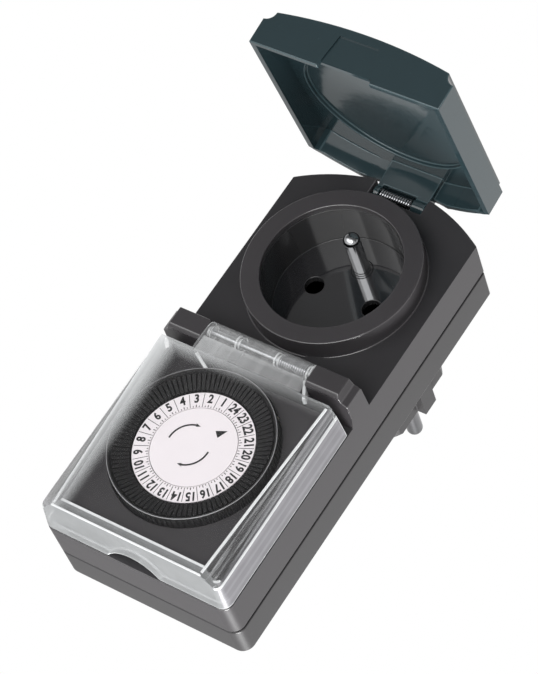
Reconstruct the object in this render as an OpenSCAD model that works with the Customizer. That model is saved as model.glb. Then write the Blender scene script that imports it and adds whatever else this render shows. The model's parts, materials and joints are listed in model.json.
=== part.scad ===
// Weatherproof plug-in timer switch: a plug on the back, a mechanical 24 hour dial under a clear
// hinged cover, and a pin-earth socket under a spring lid.
// Pieces are modelled as the unit lies on its back, in millimetres: x across, y from the timer end
// to the socket end, z out of the face, with z = 0 on the deck around the socket.
// place() then stands the unit up as it hangs in a wall socket.

/* [Body] */
// Width across the side walls
body_w = 60; // [56:0.5:66]
// How far the straight side walls run past the socket's centre
side_past = 24.7; // [24:0.1:28]
// How far the round socket end bulges past the side walls
end_bulge = 9.1; // [8.5:0.1:11]
// Radius of the two corners at the timer end
corner_r = 3.5; // [2.5:0.1:5]
// Depth of the front housing, deck to joint line
front_h = 11.8; // [11.5:0.1:13]
// Depth of the rear housing below the joint line
rear_h = 10.1; // [9.8:0.1:12]
// Thickness of the sealing cord pressed in the joint line
gasket_t = 0.6; // [0.4:0.1:1]
// Wall thickness of both housings
wall = 2; // [1.8:0.1:2.4]
// Thickness of the deck
deck_t = 2.2; // [1.8:0.1:2.6]

/* [Socket] */
// Gap between the cover's hinge housing and the collar
collar_gap = 5.2; // [4.6:0.1:8]
// Outer radius of the collar around the socket
collar_r = 25.3; // [24.6:0.1:26]
// Height of the collar above the deck
collar_h = 6.4; // [5.6:0.1:6.5]
// Radius of the socket's mouth
mouth_r = 19.9; // [19.6:0.1:20.4]
// Depth of the socket, mouth to floor
bowl_depth = 15.1; // [14.8:0.1:15.6]
// Wall thickness of the socket insert
bowl_wall = 1.8; // [1.5:0.1:2]
// Distance between the centres of the two live pins
pin_pitch = 19; // [18.8:0.1:19.2]
// Radius of the live holes in the socket floor
live_hole_r = 2.75; // [2.6:0.05:3]
// Offset of the earth pin from the live pins
earth_off = 10; // [9.8:0.1:10.2]
// Radius of the round live and earth pins
pin_r = 2.4; // [2.3:0.05:2.5]
// Height of the earth pin above the socket floor
earth_h = 15.7; // [14:0.1:16.9]

/* [Plug] */
// Radius of the plug body
plug_r = 19.5; // [19:0.1:20]
// Length of the plug body behind the rear housing
plug_l = 30.5; // [28:0.5:33]
// Length of the free ends of the plug pins
pin_l = 19; // [18.6:0.1:19.4]
// Distance between the flats on the plug body
flat_gap = 32.4; // [31.6:0.2:33.2]
// Length of the flats
flat_l = 20; // [16:0.5:22]
// Width of the key rib on each flat
key_w = 5.4; // [5:0.1:6]
// Radius of the hollow inside the plug body
plug_bore = 14.3; // [14:0.1:14.5]

/* [Socket lid] */
// Height of the hinge axis above the deck
lid_hinge_z = -3; // [-3.3:0.1:-2.9]
// Distance of the hinge axis inside the tip of the socket end
lid_hinge_in = 3; // [2.8:0.1:3.2]
// How far the lid stands open
lid_open = 82.6; // [60:0.1:85]
// Gap between the lid's front wall and the cover hinge housing
lid_front_gap = 0.4; // [0.4:0.1:0.8]
// Height of the lid's rim above the deck when shut
rim_gap = 0.3; // [0.3:0.1:0.5]
// Height of the lid's crown above its rim
lid_h = 12.8; // [12.4:0.1:14]
// Height of the lid's straight side walls
lid_side_h = 7.6; // [7.2:0.1:8]
// Wall thickness of the lid
lid_wall = 1.7; // [1.5:0.1:1.9]
// Radius of the dish in the lid's ceiling
dish_r = 25; // [24:0.5:26]

/* [Timer] */
// Sideways offset of the dial centre
dial_x = -1.2; // [-1.4:0.1:-0.8]
// Distance of the dial's edge from the timer end
dial_in = 11.3; // [10.8:0.1:14]
// Outer radius of the dial
dial_r = 23; // [22.6:0.1:23.2]
// Height of the dial's rim above the deck
dial_rim_z = 11; // [10.6:0.1:11]
// Height of the numeral ring above the deck
disc_z = 8.6; // [8.4:0.1:8.8]
// Outer radius of the numeral ring
disc_r = 16.7; // [16.4:0.1:16.8]
// Radius of the fixed disc in the middle of the dial
centre_r = 11.9; // [11:0.1:12]
// Height of the raised platform around the dial
platform_z = 7.5; // [7.2:0.1:7.7]
// Distance of the platform's sides inside the body's sides
platform_in = 3.6; // [3.4:0.1:4]
// Number of switching tappets round the dial
tappets = 96; // [48:48:96]
// How far a tappet is pushed in
tappet_push = 1.8; // [1.4:0.1:1.8]

/* [Timer cover] */
// Height of the cover hinge axis above the deck
cover_hinge_z = 9.7; // [9.5:0.1:9.9]
// Distance of the cover hinge axis past the dial's edge
hinge_past = 8.7; // [8.5:0.1:12]
// Radius of the cover's hinge barrel
barrel_r = 2.8; // [2.6:0.1:2.9]
// Length of the cover's hinge barrel
barrel_l = 33.8; // [32:0.2:35]
// Height of the cover's top face above the deck
cover_z = 12.6; // [12.6:0.1:13]
// Height of the shoulder where the side walls of the cover lean in
shoulder_z = 8.7; // [8.5:0.1:8.8]
// Wall thickness of the cover
cover_wall = 1.5; // [1.4:0.1:1.6]
// Width of the thumb notch in the cover's front rim
thumb_w = 16.5; // [14:0.5:20]
// Height of the thumb notch
thumb_h = 4.1; // [3:0.1:4.5]

/* [Gear train] */
// Teeth on the dial gear
dial_teeth = 84; // [84:12:84]
// Teeth on each small pinion
pinion_teeth = 12; // [12:1:12]
// Teeth on the idler gear
idler_teeth = 60; // [60:12:60]
// Module of the dial gear and its pinion
dial_module = 0.5; // [0.48:0.01:0.5]
// Module of the idler gear and the motor pinion
idler_module = 0.4; // [0.38:0.01:0.4]
// Radius of the motor's can
motor_r = 17; // [16:0.5:17.5]

/* [Hardware] */
// Radius of the two hinge pins
hinge_pin_r = 1; // [0.8:0.1:1.1]
// Radius of the housing screws
screw_r = 1.4; // [1.2:0.1:1.5]
// Radius of the bosses that take the screws
boss_r = 3.2; // [3:0.1:3.4]
// Thickness of the brass strips
strip_t = 0.8; // [0.6:0.1:0.9]
// Width of the brass strips
strip_w = 4; // [3.4:0.2:4.2]

/* [Hidden] */
$fn = 96;

// Clearances and small amounts used all over
run_gap = 0.05;                 // radial play of a pin that turns in its hole
slip = 0.1;                     // play between pieces that are pushed together
free_gap = 0.4;                 // air between pieces that move past each other
cut = 1;                        // how far a cutting shape runs past what it cuts
weld = 0.2;                     // how far joined forms sink into each other

// Chain of places from the timer end to the socket end
half_w = body_w/2;
dial_y = dial_in + dial_r;
cover_hinge_y = dial_y + dial_r + hinge_past;
hump_back_y = cover_hinge_y + barrel_r;
sock_y = hump_back_y + collar_gap + collar_r;
side_l = sock_y + side_past;

// Body outline
end_r = (half_w*half_w + end_bulge*end_bulge)/(2*end_bulge);
end_y = side_l + end_bulge - end_r;
tip_y = side_l + end_bulge;
joint_z = -front_h;
rear_top = joint_z - gasket_t;
back_z = rear_top - rear_h;
floor_z = back_z + wall;
plug_face_z = back_z - plug_l;
pin_tip_z = plug_face_z - pin_l;

// Housing screws
boss_in = 5.5;                  // distance of a boss centre inside the side wall
boss_ends = [7, side_l - 7];
screw_head_r = 2.6;
screw_head_t = 1.6;
screw_len = 15;
screw_bite = 7.2;               // depth of the screw holes in the front bosses
slot_half = [1.6, 0.4];         // half length and half width of the cross recess
slot_d = 0.9;

// Socket insert
lip_t = 2;                      // collar lip that hides the insert's edge
bowl_out_r = mouth_r + bowl_wall;
bowl_floor_z = collar_h - bowl_depth;
bowl_floor_t = 2.2;
bowl_under = bowl_floor_z - bowl_floor_t;
bowl_top = collar_h - lip_t - slip;
earth_y = sock_y + earth_off;
earth_top = bowl_floor_z + earth_h;
shank_r = pin_r + 0.6;          // thicker shank of a pin inside what holds it
earth_shank = 3;                // length of the earth pin's shank below the socket insert
contact_h = 6.8;
contact_tab = 3.4;              // how far a contact's tab reaches out
contact_top = bowl_under - 0.3;
contact_low = contact_top - contact_h;
contact_out_r = pin_r + 1.2;

// Plug insides
plate_t = 4;
pin_head_r = pin_r + 1.2;
plug_neck_r = plug_r - 1;       // part of the plug body that sits in the rear housing
pin_head_t = 2;
pin_head_z = plug_face_z + plate_t;
strip_low_z = pin_head_z + pin_head_t;
receptacle_l = 17;
receptacle_end = 1.2;
bar_foot = 2.6;                 // half length of the earth bar's feet
in_run = 28;                    // where the strip to the switch turns, below the socket centre
out_run = 22;
run_lift = 0.3;                 // air between that strip and the housing floor
tap_drop = 4;                   // how far the other strip dips to the switch

// Lid
lid_hw = half_w - 0.4;
lid_hinge_y = tip_y - lid_hinge_in;
lid_front_y = hump_back_y + lid_front_gap;
crown_drop = 2.3;
cove_r = 2.8;
crown_hw = lid_hw - cove_r;
crown_r = (crown_hw*crown_hw + crown_drop*crown_drop)/(2*crown_drop);
ceiling_h = 6.8;
dish_rise = 2.4;
dish_sphere = (dish_r*dish_r + dish_rise*dish_rise)/(2*dish_rise);
dish_step = 1.2;
rear_relief_hw = 14.5;
rear_relief_h = 0.9;
knuckle_r = 2.4;
lug_x = [-7, 9.6];              // the hinge lug's two ends
ear_w = [1.7, 4];               // widths of its two knuckles
notch_x = [lug_x[0] - free_gap, lug_x[1] + free_gap];
block_x = [notch_x[0] - 3, notch_x[1] + 3];
notch_floor = lid_hinge_z - knuckle_r - 0.8;
notch_y = lid_hinge_y - knuckle_r - 0.6;
lid_pin_x = [block_x[0] + 0.6, block_x[1] - 0.6];

// Cover hinge housing, the hump across the body
hump_z = cover_hinge_z + barrel_r;
hump_front_y = cover_hinge_y - barrel_r - 1.7;
hump_top_hw = half_w - 2.7;
hump_foot = 0.9;
hump_shoulders = [[0.1, 8.8], [1.7, 10]];   // its side corners: inset from the side wall, height
hump_core_hw = 2.2;             // half the depth of the two hollows inside it
notch_hw = barrel_l/2 + 0.2;
cover_pin_hl = notch_hw + 2.6;
hump_core_in = cover_pin_hl + 1.4;

// Timer platform and cover
platform_hw = half_w - platform_in;
platform_y = [5.2, hump_front_y - 3.6];
platform_wall = 1.5;
cover_back_y = hump_front_y - 3;
cover_front_y = 0.3;
cover_hw = half_w;
shoulder_in = 1;                // how far the side walls lean in up to the shoulder
plate_front_hw = half_w - 6.1;
plate_back_hw = half_w - 3;
plate_front_y = 2;
thumb_r = (thumb_w*thumb_w/4 + thumb_h*thumb_h)/(2*thumb_h);
scoop_x = -2;
scoop_w = 40;
scoop_d = 1.35;
scoop_r = (scoop_w*scoop_w/4 + scoop_d*scoop_d)/(2*scoop_d);
spring_in = [10.3, 1.4];        // distance of the cover spring's two ends inside the barrel's end
spring_x = [barrel_l/2 - spring_in[0], barrel_l/2 - spring_in[1]];
chamber_wall = 0.7;             // walls that part the three hollows of the barrel
chamber_end = 1.1;
chamber_r = barrel_r - 0.6;
spring_room = [spring_x[0] - 0.3, spring_x[1] + 0.3];
chambers = [[-barrel_l/2 + chamber_end, -spring_room[0] - chamber_wall],
            [-spring_room[0], spring_room[0] - chamber_wall], spring_room];

// Mechanism levels
plate_z = -9.5;
plate_top = -8;
web_z = [2.4, 3.9];
gear_z = [-4.6, -2.6];
idler_z = [-7.4, -5.9];
hub_r = 5;
post_r = 2;
well_gap = 0.4;
plate_end_y = wall + corner_r;
pillar_r = 2.2;
pillar_in = 5;                  // distance of the mechanism pillars inside the side walls
pillars = [[-1, -14.3], [-1, 25.7], [1, 27.7], [1, 7.7]];   // side, place along y from the dial
rim_round = 0.25;
rim_band = [1.5, 0.9];          // width and height of the plain band on top of the rim
drum_r = [14.5, 16.5];          // hollow drum between the dial's gear and its web
cap_h = 2.4;                    // height of the centre disc's hub
ring_t = 0.6;
ring_in = centre_r + 0.2;
tappet_in = disc_r + 0.5;
tappet_out = dial_r - 1.3;
tappet_head_z = [6, 9.2, 10.4]; // foot, inner top and outer top of a tappet's head
tappet_foot_z = tappet_push + 1;
tappet_pitch = 360/tappets;
tappet_head_w = 0.95;
tappet_foot_w = 0.5;
foot_in = [1.2, 0.7];           // how far a tappet's foot stays inside its head, at both ends
foot_r = [tappet_in + foot_in[0], tappet_out - foot_in[1]];
hour_line = 113.2;              // bearing of the line between hours 2 and 3
loose_tappets = [3, 4, 5];      // the tappets that are nodes of their own

// Gear train
dial_pitch_r = dial_teeth*dial_module/2;
idler_pitch_r = idler_teeth*idler_module/2;
small_pitch_r = pinion_teeth*dial_module/2;
motor_pitch_r = pinion_teeth*idler_module/2;
idler_bearing = 70;             // direction from the dial centre to the idler
motor_bearing = 220;            // direction from the idler to the motor
idler_d = dial_pitch_r + small_pitch_r;
motor_d = idler_pitch_r + motor_pitch_r;
idler_at = [dial_x + idler_d*cos(idler_bearing), dial_y + idler_d*sin(idler_bearing)];
motor_at = idler_at + motor_d*[cos(motor_bearing), sin(motor_bearing)];
tooth_foot = 1.2;
tooth_tip = 0.8;
foot_half = 0.29;               // half a tooth's width at its foot, as a share of the pitch
tip_half = 0.11;
arbor_r = 0.8;
motor_z = [-19.9, plate_z - 0.4];
motor_wall = 0.8;
motor_gap = 0.6;                // air at the ends of the winding
rotor_r = 6;

// Switch
switch_in = [14.5, 3.5];        // distance of the case's sides inside the side wall
switch_end = 6.5;               // distance of its end from the mechanism plate's end
switch_past = 5.3;              // distance of its other end from the dial's centre
switch_x = [half_w - switch_in[0], half_w - switch_in[1]];
switch_y = [plate_end_y + switch_end, dial_y - switch_past];
switch_z = [-19, plate_z - 0.2];
switch_wall = 1.2;
lever_in = 5;
lever_past = [14.3, 10.3];
lever_x = half_w - lever_in;
lever_z = -4.4;
lever_y = [dial_y - lever_past[0], dial_y - lever_past[1]];
lever_slot = [3, 1.2];          // free space for the lever on both sides of its axis
lever_side = [2.2, 1.2];        // faces of its arm, measured from its axis
lever_foot = [1.5, 0.5];        // faces of its tail
lever_mid = [1.7, 0.3];
lever_tail_z = -11;
nose_z = [0.2, 0.8];
nose_x = dial_x + sqrt(foot_r[0]*foot_r[0] - pow(dial_y - (lever_y[0] + lever_y[1])/2, 2));
lever_hub_r = 1.8;
ear_t = 1.2;
ear_gap = 0.2;
blade_x = 6.8;                  // place of the moving blade inside the switch case
blade_t = 0.4;
fixed_x = 4;
fixed_t = 0.8;
stud_t = 0.6;                   // contact studs on blade and fixed contact
stud_z = [-13.6, -12.4];
blade_top = -12.2;

// Stands the unit up: the plug face's centre at the origin, pins along +y, socket end up
module place() {
    rotate([90, 0, 0]) translate([0, -sock_y, -plug_face_z]) children();
}

// Outline of the body seen from the front, moved in by inset
module outline(inset = 0) {
    hw = half_w - inset;
    r = corner_r - inset/2;
    translate([-hw, inset + r]) square([2*hw, side_l - inset - r]);
    translate([-hw + r, inset]) square([2*(hw - r), r + weld]);
    for (s = [-1, 1]) translate([s*(hw - r), inset + r]) circle(r);
    intersection() {
        translate([0, end_y]) circle(end_r - inset, $fn = 180);
        translate([-hw, side_l - weld]) square([2*hw, end_bulge + 2*weld]);
    }
}

// A slice of the body from z0 to z1
module slice(z0, z1, inset = 0) {
    translate([0, 0, z0]) linear_extrude(z1 - z0) outline(inset);
}

// A block given by its two corners
module block(lo, hi) {
    translate(lo) cube(hi - lo);
}

// A round bar along z, from z0 to z1
module post(x, y, z0, z1, r) {
    translate([x, y, z0]) cylinder(r = r, h = z1 - z0);
}

// A round bar along x
module x_bar(x0, x1, y, z, r) {
    translate([x0, y, z]) rotate([0, 90, 0]) cylinder(r = r, h = x1 - x0);
}

// A flat shape drawn in y and z, made thick along x
module x_slab(x0, x1) {
    translate([x0, 0, 0]) rotate([90, 0, 90]) linear_extrude(x1 - x0) children();
}

// A flat shape drawn in x and z, made thick along y
module y_slab(y0, y1) {
    translate([0, y1, 0]) rotate([90, 0, 0]) linear_extrude(y1 - y0) children();
}

// Repeats a piece at the four screw places
module at_screws() {
    for (s = [-1, 1], y = boss_ends) translate([s*(half_w - boss_in), y, 0]) children();
}

// A row of close coils along x
module coils(x0, x1, y, z, coil_r, wire_r) {
    turns = round((x1 - x0)/(2*wire_r));
    pitch = (x1 - x0)/turns;
    translate([x0, y, z]) rotate([0, 90, 0]) rotate_extrude($fn = 48)
        for (i = [0:turns - 1]) translate([coil_r - wire_r, (i + 0.5)*pitch])
            circle(pitch/2 + 0.02, $fn = 24);
}

// ---- Housings ----

module hump_solid() {
    intersection() {
        y_slab(hump_front_y - hump_foot, hump_back_y) polygon(concat(
            [[-half_w, -weld]], [for (p = hump_shoulders) [p[0] - half_w, p[1]]],
            [[-hump_top_hw, hump_z], [hump_top_hw, hump_z]],
            [for (i = [1, 0]) [half_w - hump_shoulders[i][0], hump_shoulders[i][1]]],
            [[half_w, -weld]]));
        x_slab(-half_w, half_w) polygon([
            [hump_front_y - hump_foot, -weld], [hump_front_y, 3], [hump_front_y, hump_z - 1],
            [hump_front_y + 1, hump_z], [hump_back_y - 0.8, hump_z], [hump_back_y, -weld]]);
    }
}

module front_solid() {
    slice(joint_z, 0);
    block([-platform_hw, platform_y[0], -weld], [platform_hw, platform_y[1], platform_z]);
    hump_solid();
    post(0, sock_y, -weld, collar_h, collar_r);
}

module hinge_block() {
    intersection() {
        slice(notch_floor - wall, 0, 0.2);
        block([block_x[0], notch_y - wall, joint_z], [block_x[1], tip_y, cut]);
    }
}

// Hollow under one side of the hump, so that its walls stay even
module hump_hollow(x) {
    hw = (half_w - wall - hump_core_in)/2;
    translate([x, (hump_front_y + hump_back_y)/2])
        block([-hw, -hump_core_hw, -deck_t - cut], [hw, hump_core_hw, hump_z - 4.5]);
}

module front_housing() {
    place() color("#2f2d2e") difference() {
        union() {
            difference() {
                front_solid();
                slice(joint_z - cut, -deck_t, wall);
                block([-platform_hw + platform_wall, platform_y[0] + platform_wall, -deck_t - cut],
                      [platform_hw - platform_wall, platform_y[1] - platform_wall,
                       platform_z - platform_wall]);
                for (s = [-1, 1]) hump_hollow(s*(hump_core_in + half_w - wall)/2);
                post(0, sock_y, -deck_t - cut, collar_h - lip_t, bowl_out_r + slip);
            }
            hinge_block();
            at_screws() post(0, 0, joint_z, -deck_t + weld, boss_r);
        }
        post(dial_x, dial_y, 0, platform_z + cut, dial_r + well_gap);
        post(0, sock_y, -deck_t - cut, collar_h + cut, mouth_r);
        block([-notch_hw, hump_front_y - cut, cover_hinge_z - barrel_r - 0.7],
              [notch_hw, hump_back_y + cut, hump_z + cut]);
        x_bar(-cover_pin_hl, cover_pin_hl, cover_hinge_y, cover_hinge_z, hinge_pin_r + run_gap);
        block([notch_x[0], notch_y, notch_floor], [notch_x[1], tip_y + cut, cut]);
        x_bar(lid_pin_x[0], lid_pin_x[1], lid_hinge_y, lid_hinge_z, hinge_pin_r + run_gap);
        at_screws() post(0, 0, joint_z - cut, joint_z + screw_bite, screw_r + run_gap);
    }
}

// Round plug body with two flats, a key rib on each and a neck that sits in the rear housing
module plug_body() {
    key_in = 0.5;
    place() color("#343234") difference() {
        union() {
            post(0, sock_y, plug_face_z, back_z, plug_r);
            post(0, sock_y, back_z - weld, floor_z, plug_neck_r);
        }
        for (s = [-1, 1]) difference() {
            block([s > 0 ? flat_gap/2 : -plug_r - cut, sock_y - plug_r, plug_face_z - cut],
                  [s > 0 ? plug_r + cut : -flat_gap/2, sock_y + plug_r, plug_face_z + flat_l]);
            block([-plug_r + key_in, sock_y - key_w/2, plug_face_z - 2*cut],
                  [plug_r - key_in, sock_y + key_w/2, plug_face_z + flat_l + cut]);
        }
        post(0, sock_y, plug_face_z - cut, floor_z + cut, plug_bore);
    }
}

module rear_housing() {
    place() color("#343234") difference() {
        union() {
            difference() {
                slice(back_z, rear_top);
                slice(floor_z, rear_top + cut, wall);
            }
            at_screws() post(0, 0, back_z + weld, rear_top, boss_r);
        }
        post(0, sock_y, back_z - cut, floor_z + cut, plug_neck_r + slip);
        at_screws() {
            post(0, 0, back_z - cut, rear_top + cut, screw_r + slip);
            post(0, 0, back_z - cut, back_z + screw_head_t + 1, screw_head_r + slip);
        }
    }
}

module housing_gasket() {
    place() color("#141414") difference() {
        slice(rear_top, joint_z, 0.7);
        slice(rear_top - cut, joint_z + cut, wall);
    }
}

module housing_screws() {
    head_z = back_z + screw_head_t + 1;
    place() color("#9a9c9f") at_screws() difference() {
        union() {
            post(0, 0, head_z - screw_head_t, head_z, screw_head_r);
            post(0, 0, head_z - weld, head_z - screw_head_t + screw_len, screw_r);
        }
        for (a = [0, 90]) rotate([0, 0, a])
            block([-slot_half[0], -slot_half[1], head_z - screw_head_t - cut],
                  [slot_half[0], slot_half[1], head_z - screw_head_t + slot_d]);
    }
}

// ---- Socket, contacts and plug ----

module socket_bowl() {
    place() color("#1b1b1c") difference() {
        post(0, sock_y, bowl_under, bowl_top, bowl_out_r);
        post(0, sock_y, bowl_floor_z, bowl_top + cut, mouth_r);
        for (s = [-1, 1]) post(s*pin_pitch/2, sock_y, bowl_under - cut, bowl_floor_z + cut, live_hole_r);
        post(0, earth_y, bowl_under - cut, bowl_floor_z + cut, shank_r + run_gap);
    }
}

module earth_pin() {
    place() color("#c9cbcc") {
        post(0, earth_y, bowl_floor_z - weld, earth_top - pin_r, pin_r);
        translate([0, earth_y, earth_top - pin_r]) sphere(pin_r);
        post(0, earth_y, bowl_under - earth_shank, bowl_floor_z, shank_r);
        post(0, earth_y, bowl_under - earth_shank, bowl_under - slip, shank_r + 1);
    }
}

// A sleeve that grips a live pin, slit from below, with a tab towards the timer
module contact(side) {
    x = side*pin_pitch/2;
    color("#c79a4b") difference() {
        union() {
            post(x, sock_y, contact_low, contact_top, contact_out_r);
            block([x - strip_w/2, sock_y - contact_out_r - contact_tab, contact_low],
                  [x + strip_w/2, sock_y - pin_r - 0.4, contact_low + strip_t]);
        }
        post(x, sock_y, contact_low - cut, contact_top + cut, pin_r + run_gap);
        block([x - 0.4, sock_y + pin_r - weld, contact_low - cut],
              [x + 0.4, sock_y + contact_out_r + cut, contact_top + cut]);
    }
}

module contact_left() {
    place() contact(-1);
}

module contact_right() {
    place() contact(1);
}

module earth_bar() {
    top = bowl_under - earth_shank;
    low = plug_face_z + receptacle_l;
    place() color("#c79a4b") {
        block([-strip_w/2, earth_y - strip_t/2, low], [strip_w/2, earth_y + strip_t/2, top]);
        block([-strip_w/2, earth_y - bar_foot, top - strip_t], [strip_w/2, earth_y + bar_foot, top]);
        block([-strip_w/2, earth_y - bar_foot, low], [strip_w/2, earth_y + bar_foot, low + strip_t]);
    }
}

module earth_receptacle() {
    place() color("#b98c3f") difference() {
        post(0, earth_y, plug_face_z + plate_t, plug_face_z + receptacle_l, pin_r + 1);
        post(0, earth_y, plug_face_z + plate_t - cut, plug_face_z + receptacle_l - receptacle_end,
             pin_r + slip);
    }
}

module neutral_bar() {
    x = pin_pitch/2;
    place() color("#c79a4b") {
        block([x - strip_t/2, sock_y - strip_w/2, strip_low_z],
              [x + strip_t/2, sock_y + strip_w/2, contact_low]);
    }
}

// Strip from the left plug pin to the switch, along the floor of the rear housing
module line_in_bar() {
    x = -pin_pitch/2;
    z0 = floor_z + run_lift;
    z1 = z0 + strip_t;
    run_x = switch_x[1] - strip_w + 0.5;
    run_y = sock_y - in_run;
    place() color("#c79a4b") {
        block([x - strip_t/2, sock_y - strip_w/2, strip_low_z], [x + strip_t/2, sock_y + strip_w/2, z1]);
        block([x - strip_w/2, run_y, z0], [x + strip_w/2, sock_y, z1]);
        block([x - strip_w/2, run_y, z0], [run_x + strip_w, run_y + strip_w, z1]);
        block([run_x, switch_y[0] + strip_w, z0], [run_x + strip_w, run_y + strip_w, z1]);
    }
}

// Strip from the switch to the left socket contact, above the other strip
module line_out_bar() {
    x = -pin_pitch/2;
    z1 = contact_low;
    z0 = z1 - strip_t;
    tab_y = sock_y - contact_out_r - contact_tab;
    run_x = switch_x[0] + strip_w/2;
    run_y = sock_y - out_run;
    low_z = switch_z[1] - tap_drop;
    place() color("#c79a4b") {
        block([x - strip_w/2, run_y, z0], [x + strip_w/2, tab_y + 2.6, z1]);
        block([x - strip_w/2, run_y, z0], [run_x + strip_w, run_y + strip_w, z1]);
        block([run_x, run_y, z0], [run_x + strip_w, run_y + strip_t, low_z]);
        block([run_x, switch_y[1], low_z - strip_t], [run_x + strip_w, run_y + strip_t, low_z]);
    }
}

module plug_plate() {
    place() color("#2b2a2b") difference() {
        post(0, sock_y, plug_face_z, plug_face_z + plate_t, plug_bore - run_gap);
        for (s = [-1, 1])
            post(s*pin_pitch/2, sock_y, plug_face_z - cut, plug_face_z + plate_t + cut,
                 shank_r + run_gap);
        post(0, earth_y, plug_face_z - cut, plug_face_z + plate_t + cut, pin_r + 0.3);
    }
}

module plug_pin(side) {
    x = side*pin_pitch/2;
    color("#cfd0d1") {
        post(x, sock_y, pin_tip_z + pin_r, plug_face_z + weld, pin_r);
        post(x, sock_y, plug_face_z, pin_head_z + weld, shank_r);
        translate([x, sock_y, pin_tip_z + pin_r]) sphere(pin_r);
        post(x, sock_y, pin_head_z, pin_head_z + pin_head_t, pin_head_r);
    }
}

module plug_pin_left() {
    place() plug_pin(-1);
}

module plug_pin_right() {
    place() plug_pin(1);
}

// ---- Socket lid ----

// Turns a piece of the shut lid to the angle at which the lid stands
module lid_swing() {
    translate([0, lid_hinge_y, lid_hinge_z]) rotate([-lid_open, 0, 0])
        translate([0, -lid_hinge_y, -lid_hinge_z]) children();
}

// Plan of the lid, moved in by inset
module lid_plan(inset = 0) {
    intersection() {
        outline(half_w - lid_hw + inset);
        translate([-half_w, lid_front_y + inset]) square([body_w, tip_y]);
    }
}

// Section across the lid: straight sides, a hollow cove and an arched crown
module lid_section() {
    difference() {
        intersection() {
            translate([-lid_hw - cut, rim_gap]) square([2*(lid_hw + cut), lid_h]);
            translate([0, rim_gap + lid_h - crown_r]) circle(crown_r, $fn = 360);
        }
        for (s = [-1, 1]) translate([s*(lid_hw + 0.1), rim_gap + lid_side_h + cove_r])
            circle(cove_r, $fn = 48);
    }
}

module lid_shell() {
    front_cut = 0.5;
    difference() {
        intersection() {
            translate([0, 0, rim_gap]) linear_extrude(lid_h) lid_plan();
            y_slab(lid_front_y - cut, tip_y + cut) lid_section();
        }
        translate([0, 0, rim_gap - cut]) linear_extrude(ceiling_h + cut) lid_plan(lid_wall);
        intersection() {
            post(0, sock_y, rim_gap + ceiling_h - cut, rim_gap + lid_h, dish_r);
            translate([0, sock_y, rim_gap + ceiling_h + dish_step + dish_rise - dish_sphere])
                sphere(dish_sphere, $fn = 180);
        }
        y_slab(lid_front_y - cut, lid_front_y + front_cut) polygon([[-8.1, -cut], [8.3, -cut],
            [5.6, rim_gap + 10], [-6.6, rim_gap + 10]]);
        block([-8.1, lid_front_y - cut, -cut], [8.3, lid_front_y + lid_wall + cut, rim_gap + 1.4]);
        y_slab(lid_hinge_y - 6, tip_y + cut) polygon([
            [-rear_relief_hw, rim_gap - cut], [-rear_relief_hw, rim_gap],
            [lug_x[0], rim_gap + rear_relief_h], [lug_x[1], rim_gap + rear_relief_h],
            [rear_relief_hw, rim_gap], [rear_relief_hw, rim_gap - cut]]);
    }
}

// Side view of the lug: a round knuckle and the arm up to the lid's rear wall
module lug_side() {
    translate([lid_hinge_y, lid_hinge_z]) circle(knuckle_r, $fn = 64);
    polygon([[lid_hinge_y - 1.7, lid_hinge_z], [lid_hinge_y + 1.7, lid_hinge_z],
             [tip_y - lid_wall + weld, rim_gap + rear_relief_h],
             [tip_y - lid_wall + weld, ceiling_h + weld], [lid_hinge_y - 1.7, ceiling_h + weld]]);
}

module socket_lid() {
    place() color("#2f3d40") lid_swing() difference() {
        union() {
            lid_shell();
            x_slab(lug_x[0], lug_x[0] + ear_w[0]) lug_side();
            x_slab(lug_x[1] - ear_w[1], lug_x[1]) lug_side();
            block([lug_x[0], lid_hinge_y - 1.7, rim_gap + rear_relief_h],
                  [lug_x[1], tip_y - lid_wall + weld, rim_gap + ceiling_h + weld]);
            block([lug_x[0], lid_hinge_y - 1.7, lid_hinge_z + knuckle_r],
                  [lug_x[1], lid_hinge_y + 1.7, rim_gap + rear_relief_h + weld]);
        }
        x_bar(lug_x[0] - cut, lug_x[1] + cut, lid_hinge_y, lid_hinge_z, hinge_pin_r + run_gap);
    }
}

module socket_lid_pin() {
    place() color("#b9bbbd")
        x_bar(lid_pin_x[0], lid_pin_x[1], lid_hinge_y, lid_hinge_z, hinge_pin_r);
}

module socket_lid_spring() {
    place() color("#d5d6d8") coils(lug_x[0] + ear_w[0] + 0.2, lug_x[1] - ear_w[1] - 0.2,
        lid_hinge_y, lid_hinge_z, 1.95, 0.38);
}

// ---- Timer cover ----

// A flat rounded outline of the cover at one height
module cover_layer(z, hw, y0, r) {
    translate([0, 0, z]) linear_extrude(0.01) {
        translate([-hw, y0 + r]) square([2*hw, cover_back_y - y0 - r]);
        for (s = [-1, 1]) translate([s*(hw - r), y0 + r]) circle(r, $fn = 32);
    }
}

// The cover as a solid block, moved in by the wall
module cover_form(inset) {
    front = plate_front_y + 2*inset;
    low = rim_gap - (inset > 0 ? cut : 0);
    shoulder_hw = cover_hw - shoulder_in - inset;
    hull() {
        cover_layer(low, cover_hw - inset, cover_front_y + inset, corner_r - 0.5);
        cover_layer(shoulder_z - inset/2, shoulder_hw, cover_front_y + 1.2 + 1.4*inset, 2);
        translate([0, 0, cover_z - inset]) linear_extrude(0.01) polygon([
            [-plate_front_hw + inset/2, front], [plate_front_hw - inset/2, front],
            [plate_back_hw - inset/2, cover_back_y], [-plate_back_hw + inset/2, cover_back_y]]);
    }
}

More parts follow.
